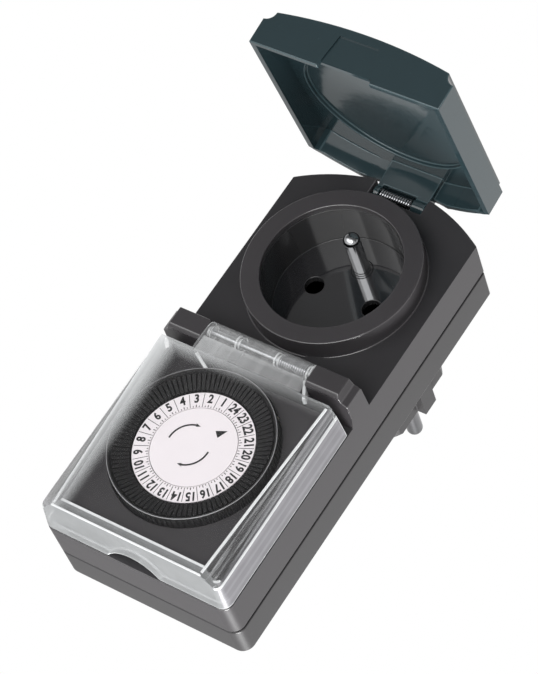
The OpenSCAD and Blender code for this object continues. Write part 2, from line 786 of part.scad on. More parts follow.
module timer_cover() {
    place() color([0.86, 0.88, 0.9, 0.45]) difference() {
        union() {
            difference() {
                cover_form(0);
                cover_form(cover_wall);
                block([-half_w, cover_back_y - weld, -cut],
                      [half_w, cover_back_y + cut, cover_z - cover_wall]);
            }
            block([-barrel_l/2, cover_back_y - 2, cover_z - cover_wall],
                  [barrel_l/2, cover_hinge_y, hump_z]);
            x_bar(-barrel_l/2, barrel_l/2, cover_hinge_y, cover_hinge_z, barrel_r);
        }
        x_bar(-barrel_l/2 - cut, barrel_l/2 + cut, cover_hinge_y, cover_hinge_z, hinge_pin_r + run_gap);
        for (c = chambers) x_bar(c[0], c[1], cover_hinge_y, cover_hinge_z, chamber_r);
        translate([0, 3, rim_gap + thumb_h - thumb_r]) rotate([90, 0, 0]) cylinder(r = thumb_r, h = 6);
        translate([scoop_x, plate_front_y - scoop_r + scoop_d, cover_z]) rotate([-7, 0, 0])
            translate([0, 0, -11]) cylinder(r = scoop_r, h = 14, $fn = 360);
    }
}

module timer_cover_pin() {
    place() color("#b9bbbd")
        x_bar(-cover_pin_hl, cover_pin_hl, cover_hinge_y, cover_hinge_z, hinge_pin_r);
}

module timer_cover_spring() {
    place() color("#d5d6d8")
        coils(spring_x[0], spring_x[1], cover_hinge_y, cover_hinge_z, chamber_r - 0.25, 0.37);
}

// ---- Timer mechanism ----

// Corner points of a straight-toothed gear
function gear_points(teeth, mod) = [
    for (i = [0:teeth - 1], p = [[-foot_half, -tooth_foot], [-tip_half, tooth_tip],
                                 [tip_half, tooth_tip], [foot_half, -tooth_foot]])
        let (r = teeth*mod/2 + p[1]*mod, a = (i + p[0])*360/teeth) r*[cos(a), sin(a)]];

// Turn of a gear that puts its gap opposite a tooth of the gear it meshes with
function mesh_turn(bearing, turn, teeth, own_teeth) =
    bearing + 180 - (0.5 - (bearing - turn)*teeth/360)*360/own_teeth;

idler_turn = mesh_turn(idler_bearing, 0, dial_teeth, pinion_teeth);
motor_turn = mesh_turn(motor_bearing, idler_turn, idler_teeth, pinion_teeth);

module gear(at, z0, z1, teeth, mod, turn) {
    translate([at[0], at[1], z0]) rotate([0, 0, turn]) linear_extrude(z1 - z0)
        polygon(gear_points(teeth, mod));
}

// A round bar on the lever's axis that runs past the lever at both ends
module lever_bar(past, r) {
    translate([lever_x, lever_y[0] - past, lever_z]) rotate([-90, 0, 0])
        cylinder(r = r, h = lever_y[1] - lever_y[0] + 2*past);
}

module mechanism_plate() {
    hw = half_w - wall - slip;
    place() color("#d9d5c8") difference() {
        union() {
            block([-hw, plate_end_y, plate_z], [hw, hump_back_y, plate_top]);
            for (p = pillars)
                post(p[0]*(half_w - pillar_in), dial_y + p[1], plate_top - weld, -deck_t, pillar_r);
            for (y = [lever_y[0] - ear_t - ear_gap, lever_y[1] + ear_gap])
                block([lever_x - lever_hub_r, y, plate_top - weld],
                      [lever_x + lever_hub_r, y + ear_t, lever_z + lever_hub_r]);
        }
        for (s = [-1, 1]) {
            post(s*(half_w - boss_in), boss_ends[0], plate_z - cut, plate_top + cut, boss_r + slip);
            block([s > 0 ? half_w - boss_in : -half_w, plate_end_y - cut, plate_z - cut],
                  [s > 0 ? half_w : boss_in - half_w, boss_ends[0], plate_top + cut]);
        }
        post(motor_at[0], motor_at[1], plate_z - cut, plate_top + cut, 3);
        post(dial_x, dial_y, plate_z - cut, plate_top + cut, post_r + slip);
        post(idler_at[0], idler_at[1], plate_z - cut, plate_top + cut, arbor_r + slip);
        block([lever_x - lever_slot[0], lever_y[0] - 0.3, plate_z - cut],
              [lever_x + lever_hub_r + slip, lever_y[1] + 0.3, plate_top + cut]);
        lever_bar(ear_t + cut, arbor_r + run_gap);
    }
}

module dial_post() {
    place() color("#b9bbbd") {
        post(dial_x, dial_y, plate_z, disc_z - ring_t, post_r);
        post(dial_x, dial_y, plate_top, plate_top + 2, post_r + 1.5);
    }
}

module centre_disc() {
    place() color("#efece9") difference() {
        union() {
            post(dial_x, dial_y, disc_z - ring_t, disc_z, centre_r);
            post(dial_x, dial_y, disc_z - cap_h, disc_z - ring_t, post_r + 1.6);
        }
        post(dial_x, dial_y, disc_z - cap_h - cut, disc_z - ring_t, post_r + run_gap);
    }
}

module numeral_ring() {
    place() color("#f1eeee") difference() {
        post(dial_x, dial_y, disc_z - ring_t, disc_z, disc_r);
        post(dial_x, dial_y, disc_z - ring_t - cut, disc_z + cut, ring_in);
    }
}

// Ribbed outer wall of the dial
module rim_grip() {
    ribs = 96;
    low = dial_r - 0.35;
    translate([dial_x, dial_y, web_z[0]]) linear_extrude(dial_rim_z - 0.8 - web_z[0])
        polygon([for (i = [0:ribs - 1], p = [[-0.3, low], [-0.2, dial_r], [0.2, dial_r], [0.3, low]])
            let (a = (i + p[0])*360/ribs) p[1]*[cos(a), sin(a)]]);
}

// Plain band on top of the rim, rounded outside
module rim_top() {
    out_r = dial_r - 0.1;
    low = dial_rim_z - rim_band[1];
    translate([dial_x, dial_y, 0]) rotate_extrude() {
        translate([out_r - rim_band[0], low]) square([rim_band[0] - rim_round, rim_band[1]]);
        translate([out_r - rim_band[0], low]) square([rim_band[0], rim_band[1] - rim_round]);
        translate([out_r - rim_round, dial_rim_z - rim_round]) circle(rim_round, $fn = 32);
    }
}

// Places a tappet shape at each listed tappet
module at_tappets(list) {
    for (i = list) translate([dial_x, dial_y, 0])
        rotate([0, 0, hour_line - (i + 0.5)*tappet_pitch]) children();
}

// Section of a ring-shaped groove between two radii and two heights
module groove(r0, r1, z0, z1) {
    translate([r0, z0]) square([r1 - r0, z1 - z0]);
}

module dial_wheel() {
    place() color("#1d1d1e") difference() {
        union() {
            rim_grip();
            post(dial_x, dial_y, web_z[0], dial_rim_z - rim_band[1] + weld, tappet_out + 0.5);
            rim_top();
            gear([dial_x, dial_y], gear_z[0], gear_z[1], dial_teeth, dial_module, 0);
            post(dial_x, dial_y, gear_z[1] - weld, web_z[0] + weld, drum_r[1]);
        }
        post(dial_x, dial_y, gear_z[1], web_z[0], drum_r[0]);
        translate([dial_x, dial_y, 0]) rotate_extrude() {
            groove(disc_r + slip, tappet_out + slip, web_z[1], dial_rim_z + cut);
            groove(0, disc_r + 1, disc_z - ring_t, dial_rim_z + cut);
            groove(hub_r, ring_in, web_z[1], dial_rim_z + cut);
            groove(ring_in - weld, disc_r - 1.4, web_z[1], disc_z - ring_t - 1);
            groove(0, hub_r + weld, disc_z - cap_h - 0.7, dial_rim_z + cut);
            polygon([[tappet_out, dial_rim_z - 2], [dial_r - 0.5, dial_rim_z + 0.1],
                     [tappet_out, dial_rim_z + 0.1]]);
        }
        post(dial_x, dial_y, gear_z[0] - cut, dial_rim_z, post_r + run_gap);
        at_tappets([0:tappets - 1])
            block([foot_r[0] - 0.1, -tappet_foot_w/2 - 0.08, web_z[0] - cut],
                  [foot_r[1] + 0.1, tappet_foot_w/2 + 0.08, web_z[1] + cut]);
    }
}

// One tappet: a head whose top rises outward, and a foot that reaches through the web
module tappet() {
    y_slab(-tappet_head_w/2, tappet_head_w/2) polygon([
        [tappet_in, tappet_head_z[0]], [tappet_out, tappet_head_z[0]],
        [tappet_out, tappet_head_z[2]], [tappet_in, tappet_head_z[1]]]);
    block([foot_r[0], -tappet_foot_w/2, tappet_foot_z],
          [foot_r[1], tappet_foot_w/2, tappet_head_z[0] + weld]);
}

module dial_tappets() {
    place() color("#161617")
        at_tappets([for (i = [0:tappets - 1]) if (len(search(i, loose_tappets)) == 0) i]) tappet();
}

module loose_tappet(i) {
    place() color("#161617") at_tappets([loose_tappets[i]]) tappet();
}

module tappet_1() {
    loose_tappet(0);
}

module tappet_2() {
    loose_tappet(1);
}

module tappet_3() {
    loose_tappet(2);
}

module idler_gear() {
    place() color("#e4dfd2") difference() {
        union() {
            gear(idler_at, idler_z[0], idler_z[1], idler_teeth, idler_module, idler_turn);
            gear(idler_at, idler_z[1] - weld, gear_z[1], pinion_teeth, dial_module, idler_turn);
        }
        post(idler_at[0], idler_at[1], idler_z[0] - cut, gear_z[1] + cut, arbor_r + run_gap);
    }
}

module idler_arbor() {
    place() color("#b9bbbd") {
        post(idler_at[0], idler_at[1], plate_z, gear_z[1] + 0.2, arbor_r);
        post(idler_at[0], idler_at[1], plate_top, idler_z[0] - 0.2, arbor_r + 0.8);
    }
}

module motor_can() {
    place() color("#a9abad") difference() {
        post(motor_at[0], motor_at[1], motor_z[0], motor_z[1], motor_r);
        post(motor_at[0], motor_at[1], motor_z[0] + motor_wall, motor_z[1] - motor_wall,
             motor_r - motor_wall);
        post(motor_at[0], motor_at[1], motor_z[1] - motor_wall - cut, motor_z[1] + cut, 2.4);
    }
}

module motor_coil() {
    place() color("#8a4b22") difference() {
        post(motor_at[0], motor_at[1], motor_z[0] + motor_wall + motor_gap,
             motor_z[1] - motor_wall - motor_gap, motor_r - motor_wall - slip);
        post(motor_at[0], motor_at[1], motor_z[0], motor_z[1], rotor_r + 1);
    }
}

module motor_rotor() {
    pinion_z = [plate_top + 0.2, gear_z[0] - 1.4];
    place() color("#5b5d60") {
        post(motor_at[0], motor_at[1], motor_z[0] + motor_wall + motor_gap + slip,
             motor_z[1] - motor_wall - motor_gap - slip, rotor_r);
        post(motor_at[0], motor_at[1], motor_z[1] - motor_wall - cut, pinion_z[0] + weld, arbor_r + 0.4);
        gear(motor_at, pinion_z[0], pinion_z[1], pinion_teeth, idler_module, motor_turn);
    }
}

// ---- Switch ----

module switch_case() {
    t = switch_wall;
    place() color("#2c3a5a") difference() {
        block([switch_x[0], switch_y[0], switch_z[0]], [switch_x[1], switch_y[1], switch_z[1]]);
        block([switch_x[0] + t, switch_y[0] + t, switch_z[0] + t],
              [switch_x[1] - t, switch_y[1] - t, switch_z[1] - t]);
        block([lever_x - lever_slot[0], lever_y[0] - 0.3, switch_z[1] - 2*t],
              [lever_x + lever_slot[1], lever_y[1] + 0.3, switch_z[1] + cut]);
    }
}

// Rocking lever: a nose under the tappets, a hub on its pin and a tail into the switch
module switch_lever() {
    place() color("#d8d2bf") difference() {
        union() {
            y_slab(lever_y[0], lever_y[1]) polygon([
                [nose_x, nose_z[0]], [nose_x, nose_z[1]], [lever_x - lever_side[1], nose_z[1]],
                [lever_x + lever_mid[1], lever_z], [lever_x - lever_foot[1], lever_tail_z],
                [lever_x - lever_foot[0], lever_tail_z], [lever_x - lever_mid[0], lever_z],
                [lever_x - lever_side[0], nose_z[0]]]);
            translate([lever_x - 0.2, lever_y[0], lever_z]) rotate([-90, 0, 0])
                cylinder(r = lever_hub_r - 0.3, h = lever_y[1] - lever_y[0]);
        }
        lever_bar(cut, arbor_r + run_gap);
    }
}

module lever_pin() {
    place() color("#b9bbbd") lever_bar(ear_t, arbor_r);
}

// A flat contact in the switch case from x, t thick, with its stud at stud_x
module switch_leaf(x, t, stud_x) {
    block([switch_x[0] + x, lever_y[0], switch_z[0] + switch_wall],
          [switch_x[0] + x + t, lever_y[1], blade_top]);
    block([switch_x[0] + stud_x, lever_y[0] + 1, stud_z[0]],
          [switch_x[0] + stud_x + stud_t, lever_y[1] - 1, stud_z[1]]);
}

module switch_blade() {
    place() color("#c79a4b") switch_leaf(blade_x, blade_t, blade_x - stud_t);
}

module fixed_contact() {
    place() color("#c79a4b") switch_leaf(fixed_x, fixed_t, fixed_x + fixed_t);
}

front_housing();
rear_housing();
plug_body();
housing_gasket();
housing_screws();
socket_bowl();
earth_pin();
contact_left();
contact_right();
earth_bar();
earth_receptacle();
neutral_bar();
line_in_bar();
line_out_bar();
plug_plate();
plug_pin_left();
plug_pin_right();
socket_lid();
socket_lid_pin();
socket_lid_spring();
timer_cover();
timer_cover_pin();
timer_cover_spring();
mechanism_plate();
dial_post();
centre_disc();
dial_wheel();
numeral_ring();
dial_tappets();
tappet_1();
tappet_2();
tappet_3();
idler_gear();
idler_arbor();
motor_can();
motor_coil();
motor_rotor();
switch_case();
switch_lever();
lever_pin();
switch_blade();
fixed_contact();
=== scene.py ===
# %% [markdown]
# # A plug-in timer switch
# The construction of this object is finished before the lesson starts: every solid, hinge and
# gear is packed in a frame that Blender only reads. This notebook gives that frame its looks.
# We soften the moulded shells, print the dial, wind the springs and mix one finish for each
# material. Every piece rides on the body that it belongs to, so the looks follow the joints.

# %% Load the frame
import json
import math

import bmesh
import bpy
from mathutils import Matrix, Vector


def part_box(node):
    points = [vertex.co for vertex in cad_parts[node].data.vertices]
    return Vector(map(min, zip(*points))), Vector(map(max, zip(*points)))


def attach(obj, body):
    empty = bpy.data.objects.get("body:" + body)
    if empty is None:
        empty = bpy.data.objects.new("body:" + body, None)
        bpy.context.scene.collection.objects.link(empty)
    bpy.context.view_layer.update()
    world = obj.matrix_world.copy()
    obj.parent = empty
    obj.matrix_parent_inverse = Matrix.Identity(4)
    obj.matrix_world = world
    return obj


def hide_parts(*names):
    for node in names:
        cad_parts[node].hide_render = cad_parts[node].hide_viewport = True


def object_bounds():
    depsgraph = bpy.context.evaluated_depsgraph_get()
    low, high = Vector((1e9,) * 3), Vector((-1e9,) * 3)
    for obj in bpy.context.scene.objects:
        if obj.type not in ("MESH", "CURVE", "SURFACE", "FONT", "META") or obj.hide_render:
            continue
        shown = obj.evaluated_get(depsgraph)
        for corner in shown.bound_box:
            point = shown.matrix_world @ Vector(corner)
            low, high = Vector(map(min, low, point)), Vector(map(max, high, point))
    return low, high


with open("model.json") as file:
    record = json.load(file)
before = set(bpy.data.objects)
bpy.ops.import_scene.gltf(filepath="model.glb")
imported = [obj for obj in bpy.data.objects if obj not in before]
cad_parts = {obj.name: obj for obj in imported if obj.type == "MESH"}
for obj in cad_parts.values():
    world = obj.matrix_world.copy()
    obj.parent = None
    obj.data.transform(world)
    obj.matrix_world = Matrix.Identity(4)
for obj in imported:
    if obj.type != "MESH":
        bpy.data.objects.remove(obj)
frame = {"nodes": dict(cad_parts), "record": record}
cad_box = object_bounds()
nodes = frame["nodes"]
print("size in mm:", [round(1000*(hi - lo), 1) for lo, hi in zip(*cad_box)])

# %% [markdown]
# ## The camera
# A timer like this is shown a little from below and from its right side, through a long lens,
# so that its edges stay nearly parallel. A camera looks along its own minus Z axis, so its
# matrix is written from three directions: right, up and back. The lens and the place are given
# as plain numbers, because a camera is the one thing that nothing else in the scene decides.

# %% Point the camera
LENS_MM = 148.86
EYE = Vector((0.3461, -0.6528, -0.2985))
RIGHT = Vector((0.81217, 0.23261, 0.53504)).normalized()
AHEAD = Vector((-0.47156, 0.80171, 0.36728)).normalized()


def look(eye, right, ahead):
    """The matrix of a camera that stands at eye and looks ahead."""
    back = -ahead
    up = back.cross(right)
    turned = Matrix((right, up, back)).transposed().to_4x4()
    return Matrix.Translation(eye) @ turned


scene = bpy.context.scene
camera = bpy.data.objects.new("portrait_camera", bpy.data.cameras.new("portrait_camera"))
camera.data.lens = LENS_MM
camera.data.clip_start = 0.01
camera.matrix_world = look(EYE, RIGHT, AHEAD)
scene.collection.objects.link(camera)
scene.camera = camera
print("camera stands", round(EYE.length, 3), "m from the plug")

# %% [markdown]
# ## Units and places
# The frame is in metres, and the timer hangs in it as it hangs in a wall socket: its face looks
# along minus Y and its socket end points up. A small printed dial is easier to draw in
# millimetres, lying flat, so we draw details facing the viewer and stand them up with one
# matrix. Most places are measured on the solids, and the few that are typed in have a name.

# %% Draw in millimetres, stand up in metres
MM = 0.001


def facing(origin):
    """Takes millimetres (x right, y up, z towards the viewer) to the frame, around origin."""
    turn = Matrix(((MM, 0, 0, 0), (0, 0, -MM, 0), (0, MM, 0, 0), (0, 0, 0, 1)))
    return Matrix.Translation(origin) @ turn


def face_centre(node):
    """The middle of a node's front face."""
    lo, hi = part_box(node)
    return Vector(((lo.x + hi.x)/2, lo.y, (lo.z + hi.z)/2))


def half_width_mm(node):
    """Half a node's width, in millimetres."""
    lo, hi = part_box(node)
    return (hi.x - lo.x)/2/MM


dial_face = facing(face_centre("numeral_ring"))
ring_r = half_width_mm("numeral_ring")
disc_r = half_width_mm("centre_disc")
rim_r = half_width_mm("dial_wheel")
print("numeral ring", round(disc_r, 1), "to", round(ring_r, 1), "mm, rim", round(rim_r, 1), "mm")

# %% [markdown]
# ## Making pieces
# Each piece ends as one object at the origin with its place in its mesh, like the solids of the
# frame. These small helpers put a mesh in the scene, join several meshes into one, shade a mesh
# smoothly where it is meant to be round, and hand a finished piece to its body.

# %% Put meshes in the scene
def new_piece(name, mesh):
    """An object at the origin that shows mesh."""
    mesh.name = name
    piece = bpy.data.objects.new(name, mesh)
    scene.collection.objects.link(piece)
    return piece


def joined(name, parts, matrix):
    """One piece from (mesh, matrix) pairs, all taken through a last matrix."""
    work = bmesh.new()
    for mesh, place in parts:
        placed = mesh.copy()
        placed.transform(place)
        work.from_mesh(placed)
        bpy.data.meshes.remove(placed)
    mesh = bpy.data.meshes.new(name)
    work.to_mesh(mesh)
    work.free()
    mesh.transform(matrix)
    return new_piece(name, mesh)


def smooth(mesh, angle):
    """Smooth shading that keeps edges sharper than angle."""
    mesh.shade_smooth()
    mesh.set_sharp_from_angle(angle=math.radians(angle))


# %% Hand a piece to its body
def carried(piece, body, slot, *materials):
    """Gives a piece its materials and lets it ride on a body."""
    for material in materials:
        piece.data.materials.append(material)
    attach(piece, body)
    return piece


def dressed(piece, node, body, slot, *materials):
    """The same for a piece that takes the place of a node."""
    carried(piece, body, slot, *materials)
    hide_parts(node)
    return piece


# %% Draw a bar
def chamfered_bar(x0, x1, half_w, z0, tops, chamfer):
    """A bar along x with chamfered top edges and a top height for each end, in millimetres."""
    work = bmesh.new()
    bmesh.ops.create_cube(work, size=1)
    top = [e for e in work.edges if all(v.co.z > 0 for v in e.verts)]
    for v in work.verts:
        outer = v.co.x > 0
        v.co = Vector((x1 if outer else x0, half_w*(1 if v.co.y > 0 else -1),
                       tops[outer] if v.co.z > 0 else z0))
    bmesh.ops.bevel(work, geom=top, offset=chamfer, segments=2, profile=0.5, affect="EDGES")
    mesh = bpy.data.meshes.new("bar")
    work.to_mesh(mesh)
    work.free()
    return mesh


# %% [markdown]
# ## Softened shells
# The edges of real plastic are never quite sharp, and their thin rounding is what catches the
# light. A solid arrives as loose triangles, so its copy is merged first and its flat faces are
# dissolved into whole ones. Then a bevel rounds every sharp edge, and the new faces take a
# material of their own: more polished than the walls and, as a painted highlight, lighter. Where
# two edges stand closer together than the rounding is wide, a bevel folds faces over. We look for
# folded triangles, leave the edges around them sharp, and try again until none is left.
#
# Smooth shading blends the normals of neighbouring faces. Where a rounded edge comes to its end,
# that would blend two flat walls into one and draw dark streaks, so those places get a crease.

# %% Make flat faces whole
MERGE_M = 2e-5
FLAT_DEGREES = 0.5


def whole_faces(node):
    """A copy of a solid whose flat faces are whole."""
    work = bmesh.new()
    work.from_mesh(nodes[node].data)
    bmesh.ops.remove_doubles(work, verts=work.verts, dist=MERGE_M)
    bmesh.ops.dissolve_degenerate(work, dist=MERGE_M/2, edges=work.edges)
    bmesh.ops.dissolve_limit(work, angle_limit=math.radians(FLAT_DEGREES), verts=work.verts,
                             edges=work.edges)
    bmesh.ops.recalc_face_normals(work, faces=work.faces)
    return work


# %% Look for folds
SLIVER = 2e-12
STANDS_UP = 0.2


def folded(work):
    """Corners of the triangles that a bevel has folded over."""
    corners = []
    for loops in work.calc_loop_triangles():
        a, b, c = [loop.vert.co for loop in loops]
        normal = (b - a).cross(c - a)
        leaning = normal.dot(loops[0].face.normal) < STANDS_UP*normal.length
        if normal.length > SLIVER and leaning:
            corners += [a.copy(), b.copy(), c.copy()]
    return corners


# %% Round the edges that have room
TRIES = 12


def rounded(base, width, angle, edge_finish):
    """A copy of base with its edges rounded wherever that folds nothing."""
    too_tight = []
    for attempt in range(TRIES):
        work = base.copy()
        reach = width*(1.8 + 0.5*attempt)
        sharp = [e for e in work.edges if e.calc_face_angle(0) > math.radians(angle)]
        free = [e for e in sharp if not any((v.co - spot).length < reach
                                            for v in e.verts for spot in too_tight)]
        bmesh.ops.bevel(work, geom=free, offset=width, segments=3, profile=0.5, affect="EDGES",
                        clamp_overlap=False, material=edge_finish)
        work.normal_update()
        corners = folded(work)
        if not corners or attempt == TRIES - 1:
            break
        too_tight += corners
        work.free()
    print("  edges rounded:", len(free), "of", len(sharp), "after", attempt + 1, "tries,",
          len(corners)//3, "folds left")
    return work


# %% Keep creases where a rounded edge ends
CREASE = math.radians(40)


def creased(work, edge_finish):
    """Smooth shading, with creases at corners and where a rounded edge comes to its end."""
    for face in work.faces:
        face.smooth = True
    for edge in work.edges:
        edge.smooth = edge.calc_face_angle(0) < CREASE
    for corner in work.verts:
        flat = [f.normal for f in corner.link_faces if f.material_index != edge_finish]
        if any(a.dot(b) < math.cos(CREASE) for a in flat for b in flat):
            for edge in corner.link_edges:
                if any(f.material_index == edge_finish for f in edge.link_faces):
                    edge.smooth = False


# %% Soften a shell
def softened(node, name, width_mm, angle=28, finish_of=lambda face: 0, edge_finish=1):
    """A copy of a moulded solid with rounded edges."""
    print(name)
    base = whole_faces(node)
    for face in base.faces:
        face.material_index = finish_of(face)
    work = rounded(base, width_mm*MM, angle, edge_finish)
    creased(work, edge_finish)
    mesh = bpy.data.meshes.new(name)
    work.to_mesh(mesh)
    work.free()
    base.free()
    piece = new_piece(name, mesh)
    weights = piece.modifiers.new("flat_faces_first", "WEIGHTED_NORMAL")
    weights.keep_sharp = True
    return piece


# %% [markdown]
# ## Sheets of nodes
# Finishes and patterns are sheets of nodes. Adding nodes by hand takes many lines, so two small
# classes do it. A `Wire` wraps the socket that a value comes out of, and adding or multiplying
# wires adds Math nodes, which lets the maths of a finish read like maths. A `Sheet` makes any
# other node: first its settings, then the values or wires of its sockets.

# %% Wires that do maths
class Wire:
    """An output socket that Python can add, subtract and multiply."""

    def __init__(self, sheet, socket):
        self.sheet = sheet
        self.socket = socket

    def __add__(self, other):
        return self.sheet.maths("ADD", self, other)

    def __sub__(self, other):
        return self.sheet.maths("SUBTRACT", self, other)

    def __mul__(self, other):
        return self.sheet.maths("MULTIPLY", self, other)

    def __radd__(self, other):
        return self.sheet.maths("ADD", other, self)

    def __rsub__(self, other):
        return self.sheet.maths("SUBTRACT", other, self)

    def __rmul__(self, other):
        return self.sheet.maths("MULTIPLY", other, self)


# %% Sheets that make nodes
class Sheet:
    """A node tree, and the one way in which nodes are added to it."""

    def __init__(self, tree):
        self.tree = tree

    def node(self, kind, settings=None, inputs=None):
        """A node of a kind, with its settings and then its sockets filled in."""
        made = self.tree.nodes.new(kind)
        for key, value in (settings or {}).items():
            if key == "stops":
                self.set_stops(made.color_ramp.elements, value)
            else:
                setattr(made, key, value)
        for key, value in (inputs or {}).items():
            if isinstance(value, Wire):
                self.tree.links.new(value.socket, made.inputs[key])
            else:
                made.inputs[key].default_value = value
        return made

    @staticmethod
    def set_stops(elements, stops):
        """Gives a ramp its stops: pairs of a place and a grey level."""
        while len(elements) < len(stops):
            elements.new(1.0)
        for element, (place, level) in zip(elements, stops):
            element.position = place
            element.color = (level, level, level, 1)

    def wire(self, kind, output, settings=None, inputs=None):
        """The same as node, but returns one of its outputs."""
        return Wire(self, self.node(kind, settings, inputs).outputs[output])

    def maths(self, operation, first, second):
        """A Math node; numbers and wires may be mixed."""
        return self.wire("ShaderNodeMath", 0, {"operation": operation}, {0: first, 1: second})


# %% [markdown]
# ## Patterns that every finish uses
# Moulded plastic is never one flat colour. Its mould leaves a grain of tenths of a millimetre,
# and its colour and gloss drift slowly over centimetres. Both come from noise read in object
# coordinates, so they stay fixed on a piece when it swings. The sheet of a finish therefore
# starts with three things: the place on the piece, a noise, and a way to mix two colours.

# %% A sheet for one finish
def rgb(code):
    """A hex colour, as it looks on a screen, in the linear values that Blender wants."""
    parts = [int(code[i:i + 2], 16)/255 for i in (1, 3, 5)]
    linear = [p/12.92 if p <= 0.04045 else ((p + 0.055)/1.055)**2.4 for p in parts]
    return (*linear, 1)


FINISHES = {}


class Finish(Sheet):
    """A material's sheet: one Principled shader and what feeds it."""

    def __init__(self, name, **fixed):
        self.material = bpy.data.materials.new("finish_" + name)
        FINISHES[name] = self.material
        self.material.use_nodes = True
        super().__init__(self.material.node_tree)
        self.shader = self.tree.nodes["Principled BSDF"]
        for socket, value in fixed.items():
            self.shader.inputs[socket.replace("_", " ")].default_value = value
        self.place = self.wire("ShaderNodeTexCoord", "Object")

    def noise(self, size_mm, stretch=(1, 1, 1), detail=3.0):
        """Smooth noise from 0 to 1 whose blobs are size_mm wide, longer where stretch is small."""
        scaled = self.wire("ShaderNodeVectorMath", 0, {"operation": "MULTIPLY"},
                           {0: self.place, 1: stretch})
        return self.wire("ShaderNodeTexNoise", 0, None,
                         {"Vector": scaled, "Scale": 1/(size_mm*MM), "Detail": detail})

    def ramp(self, value, stops):
        """Bends a value along a ramp of (place, level) stops."""
        return self.wire("ShaderNodeValToRGB", 0, {"stops": stops}, {0: value})

    def mix(self, factor, first, second):
        """A colour between two colours."""
        return self.wire("ShaderNodeMix", 2, {"data_type": "RGBA"},
                         {0: factor, 6: first, 7: second})

    def along(self, axis):
        """How far along x, y or z the place is, in metres."""
        return self.wire("ShaderNodeSeparateXYZ", axis, None, {0: self.place})

    def feed(self, socket, wire):
        """Links a wire to one of the shader's sockets."""
        self.tree.links.new(wire.socket, self.shader.inputs[socket])

    def fed(self, socket):
        """The wire that already feeds one of the shader's sockets."""
        return Wire(self, self.shader.inputs[socket].links[0].from_socket)

    def bump(self, height, depth_mm):
        """Turns a height from 0 to 1 into relief of depth_mm."""
        relief = self.wire("ShaderNodeBump", 0, None,
                           {"Height": height, "Distance": depth_mm*MM, "Strength": 1.0})
        self.feed("Normal", relief)


# %% [markdown]
# ## Moulded plastic
# Most of the timer is moulded: the anthracite housings, the slate green lid, the glossy black
# socket insert and the pale gears. One recipe makes them all. Its colour drifts between two
# close tones, its gloss drifts too, and its bump is the grain of the mould. The glossy lid and
# insert get a few wider waves as well, where thick walls have shrunk. A handful of brighter
# specks stands for dust.

# %% The recipe for moulded plastic
def shade(colour, factor):
    """A lighter or darker tone of a linear colour."""
    return (*[min(1, c*factor) for c in colour[:3]], 1)


CLOUD_MM = 14
SPECK_MM = 0.7
WAVE_MM = 9


def moulded(name, code, roughness, grain_mm=0.3, grain_depth=0.012, drift=0.1, specular=0.5,
            wave_depth=0.0):
    """Plastic from a mould: drift says how far its tone wanders."""
    finish = Finish(name, Specular_IOR_Level=specular)
    tone = rgb(code)
    cloud = finish.noise(CLOUD_MM)
    grain = finish.noise(grain_mm, detail=2)
    specks = finish.ramp(finish.noise(SPECK_MM, detail=1), [(0.74, 0), (0.8, 1)])
    body = finish.mix(cloud, shade(tone, 1 - drift), shade(tone, 1 + drift))
    finish.feed("Base Color", finish.mix(specks*0.25, body, shade(tone, 2.2)))
    finish.feed("Roughness", roughness*(0.8 + 0.25*cloud + 0.15*grain))
    waves = finish.noise(WAVE_MM, detail=1)
    finish.bump(grain + waves*(wave_depth/grain_depth), grain_depth)
    return finish.material


# %% Mix the moulded finishes
front_plastic = moulded("front_plastic", "#343234", 0.4)
# The deck's finish is darker than the front's: painted shade on the deck around the socket.
deck_plastic = moulded("deck_plastic", "#2a292b", 0.42, specular=0.45)
# Each edge finish is lighter and glossier than its wall: the lighter tone is a painted highlight.
front_edge = moulded("front_edge", "#3a383a", 0.14, grain_depth=0.001, specular=0.9)
moulded("rear_plastic", "#313031", 0.42)
rear_edge = moulded("rear_edge", "#323132", 0.3, grain_depth=0.001)
moulded("plug_plastic", "#2d2c2e", 0.4)
bowl_plastic = moulded("bowl_plastic", "#222224", 0.07, grain_depth=0.0001, drift=0.05,
                       wave_depth=0.001, specular=1.0)
bowl_shader = bowl_plastic.node_tree.nodes["Principled BSDF"]
bowl_shader.inputs["IOR"].default_value = 1.6
bowl_shader.inputs["Coat Weight"].default_value = 1.0
bowl_shader.inputs["Coat Roughness"].default_value = 0.02
# The socket's round wall is lighter than its polished floor: painted light, and also rougher.
bowl_wall = moulded("bowl_wall", "#29292a", 0.14, grain_depth=0.0001, drift=0.05,
                    wave_depth=0.001, specular=0.45)
# The socket's and the lid's edge finishes are lighter too: painted highlights.
bowl_edge = moulded("bowl_edge", "#2c2c2d", 0.12, grain_depth=0.001)
lid_edge = moulded("lid_edge", "#37474b", 0.18, grain_depth=0.001, specular=0.6)
moulded("lid_plastic", "#253337", 0.1, grain_depth=0.0003, drift=0.06, wave_depth=0.002,
        specular=0.8)
moulded("dial_black", "#232223", 0.36, grain_mm=0.2, grain_depth=0.002)
# A light grey for the bead on the dial's rim: a painted highlight.
dial_edge = moulded("dial_edge", "#8f8f91", 0.2, grain_depth=0.001, specular=0.8)
tappet_plastic = moulded("tappet_plastic", "#1b1a1b", 0.55, grain_mm=0.2, grain_depth=0.001,
                         specular=0.2)
moulded("dial_white", "#dcd6d9", 0.5, grain_depth=0.002, drift=0.02)
moulded("frame_plastic", "#d9d5c8", 0.45, drift=0.05)
moulded("gear_plastic", "#e4dfd2", 0.4, drift=0.04)
moulded("switch_plastic", "#2c3a5a", 0.4)
moulded("gasket_rubber", "#060606", 0.9, grain_mm=0.15, grain_depth=0.01, specular=0.1)
print("moulded finishes:", len(FINISHES))
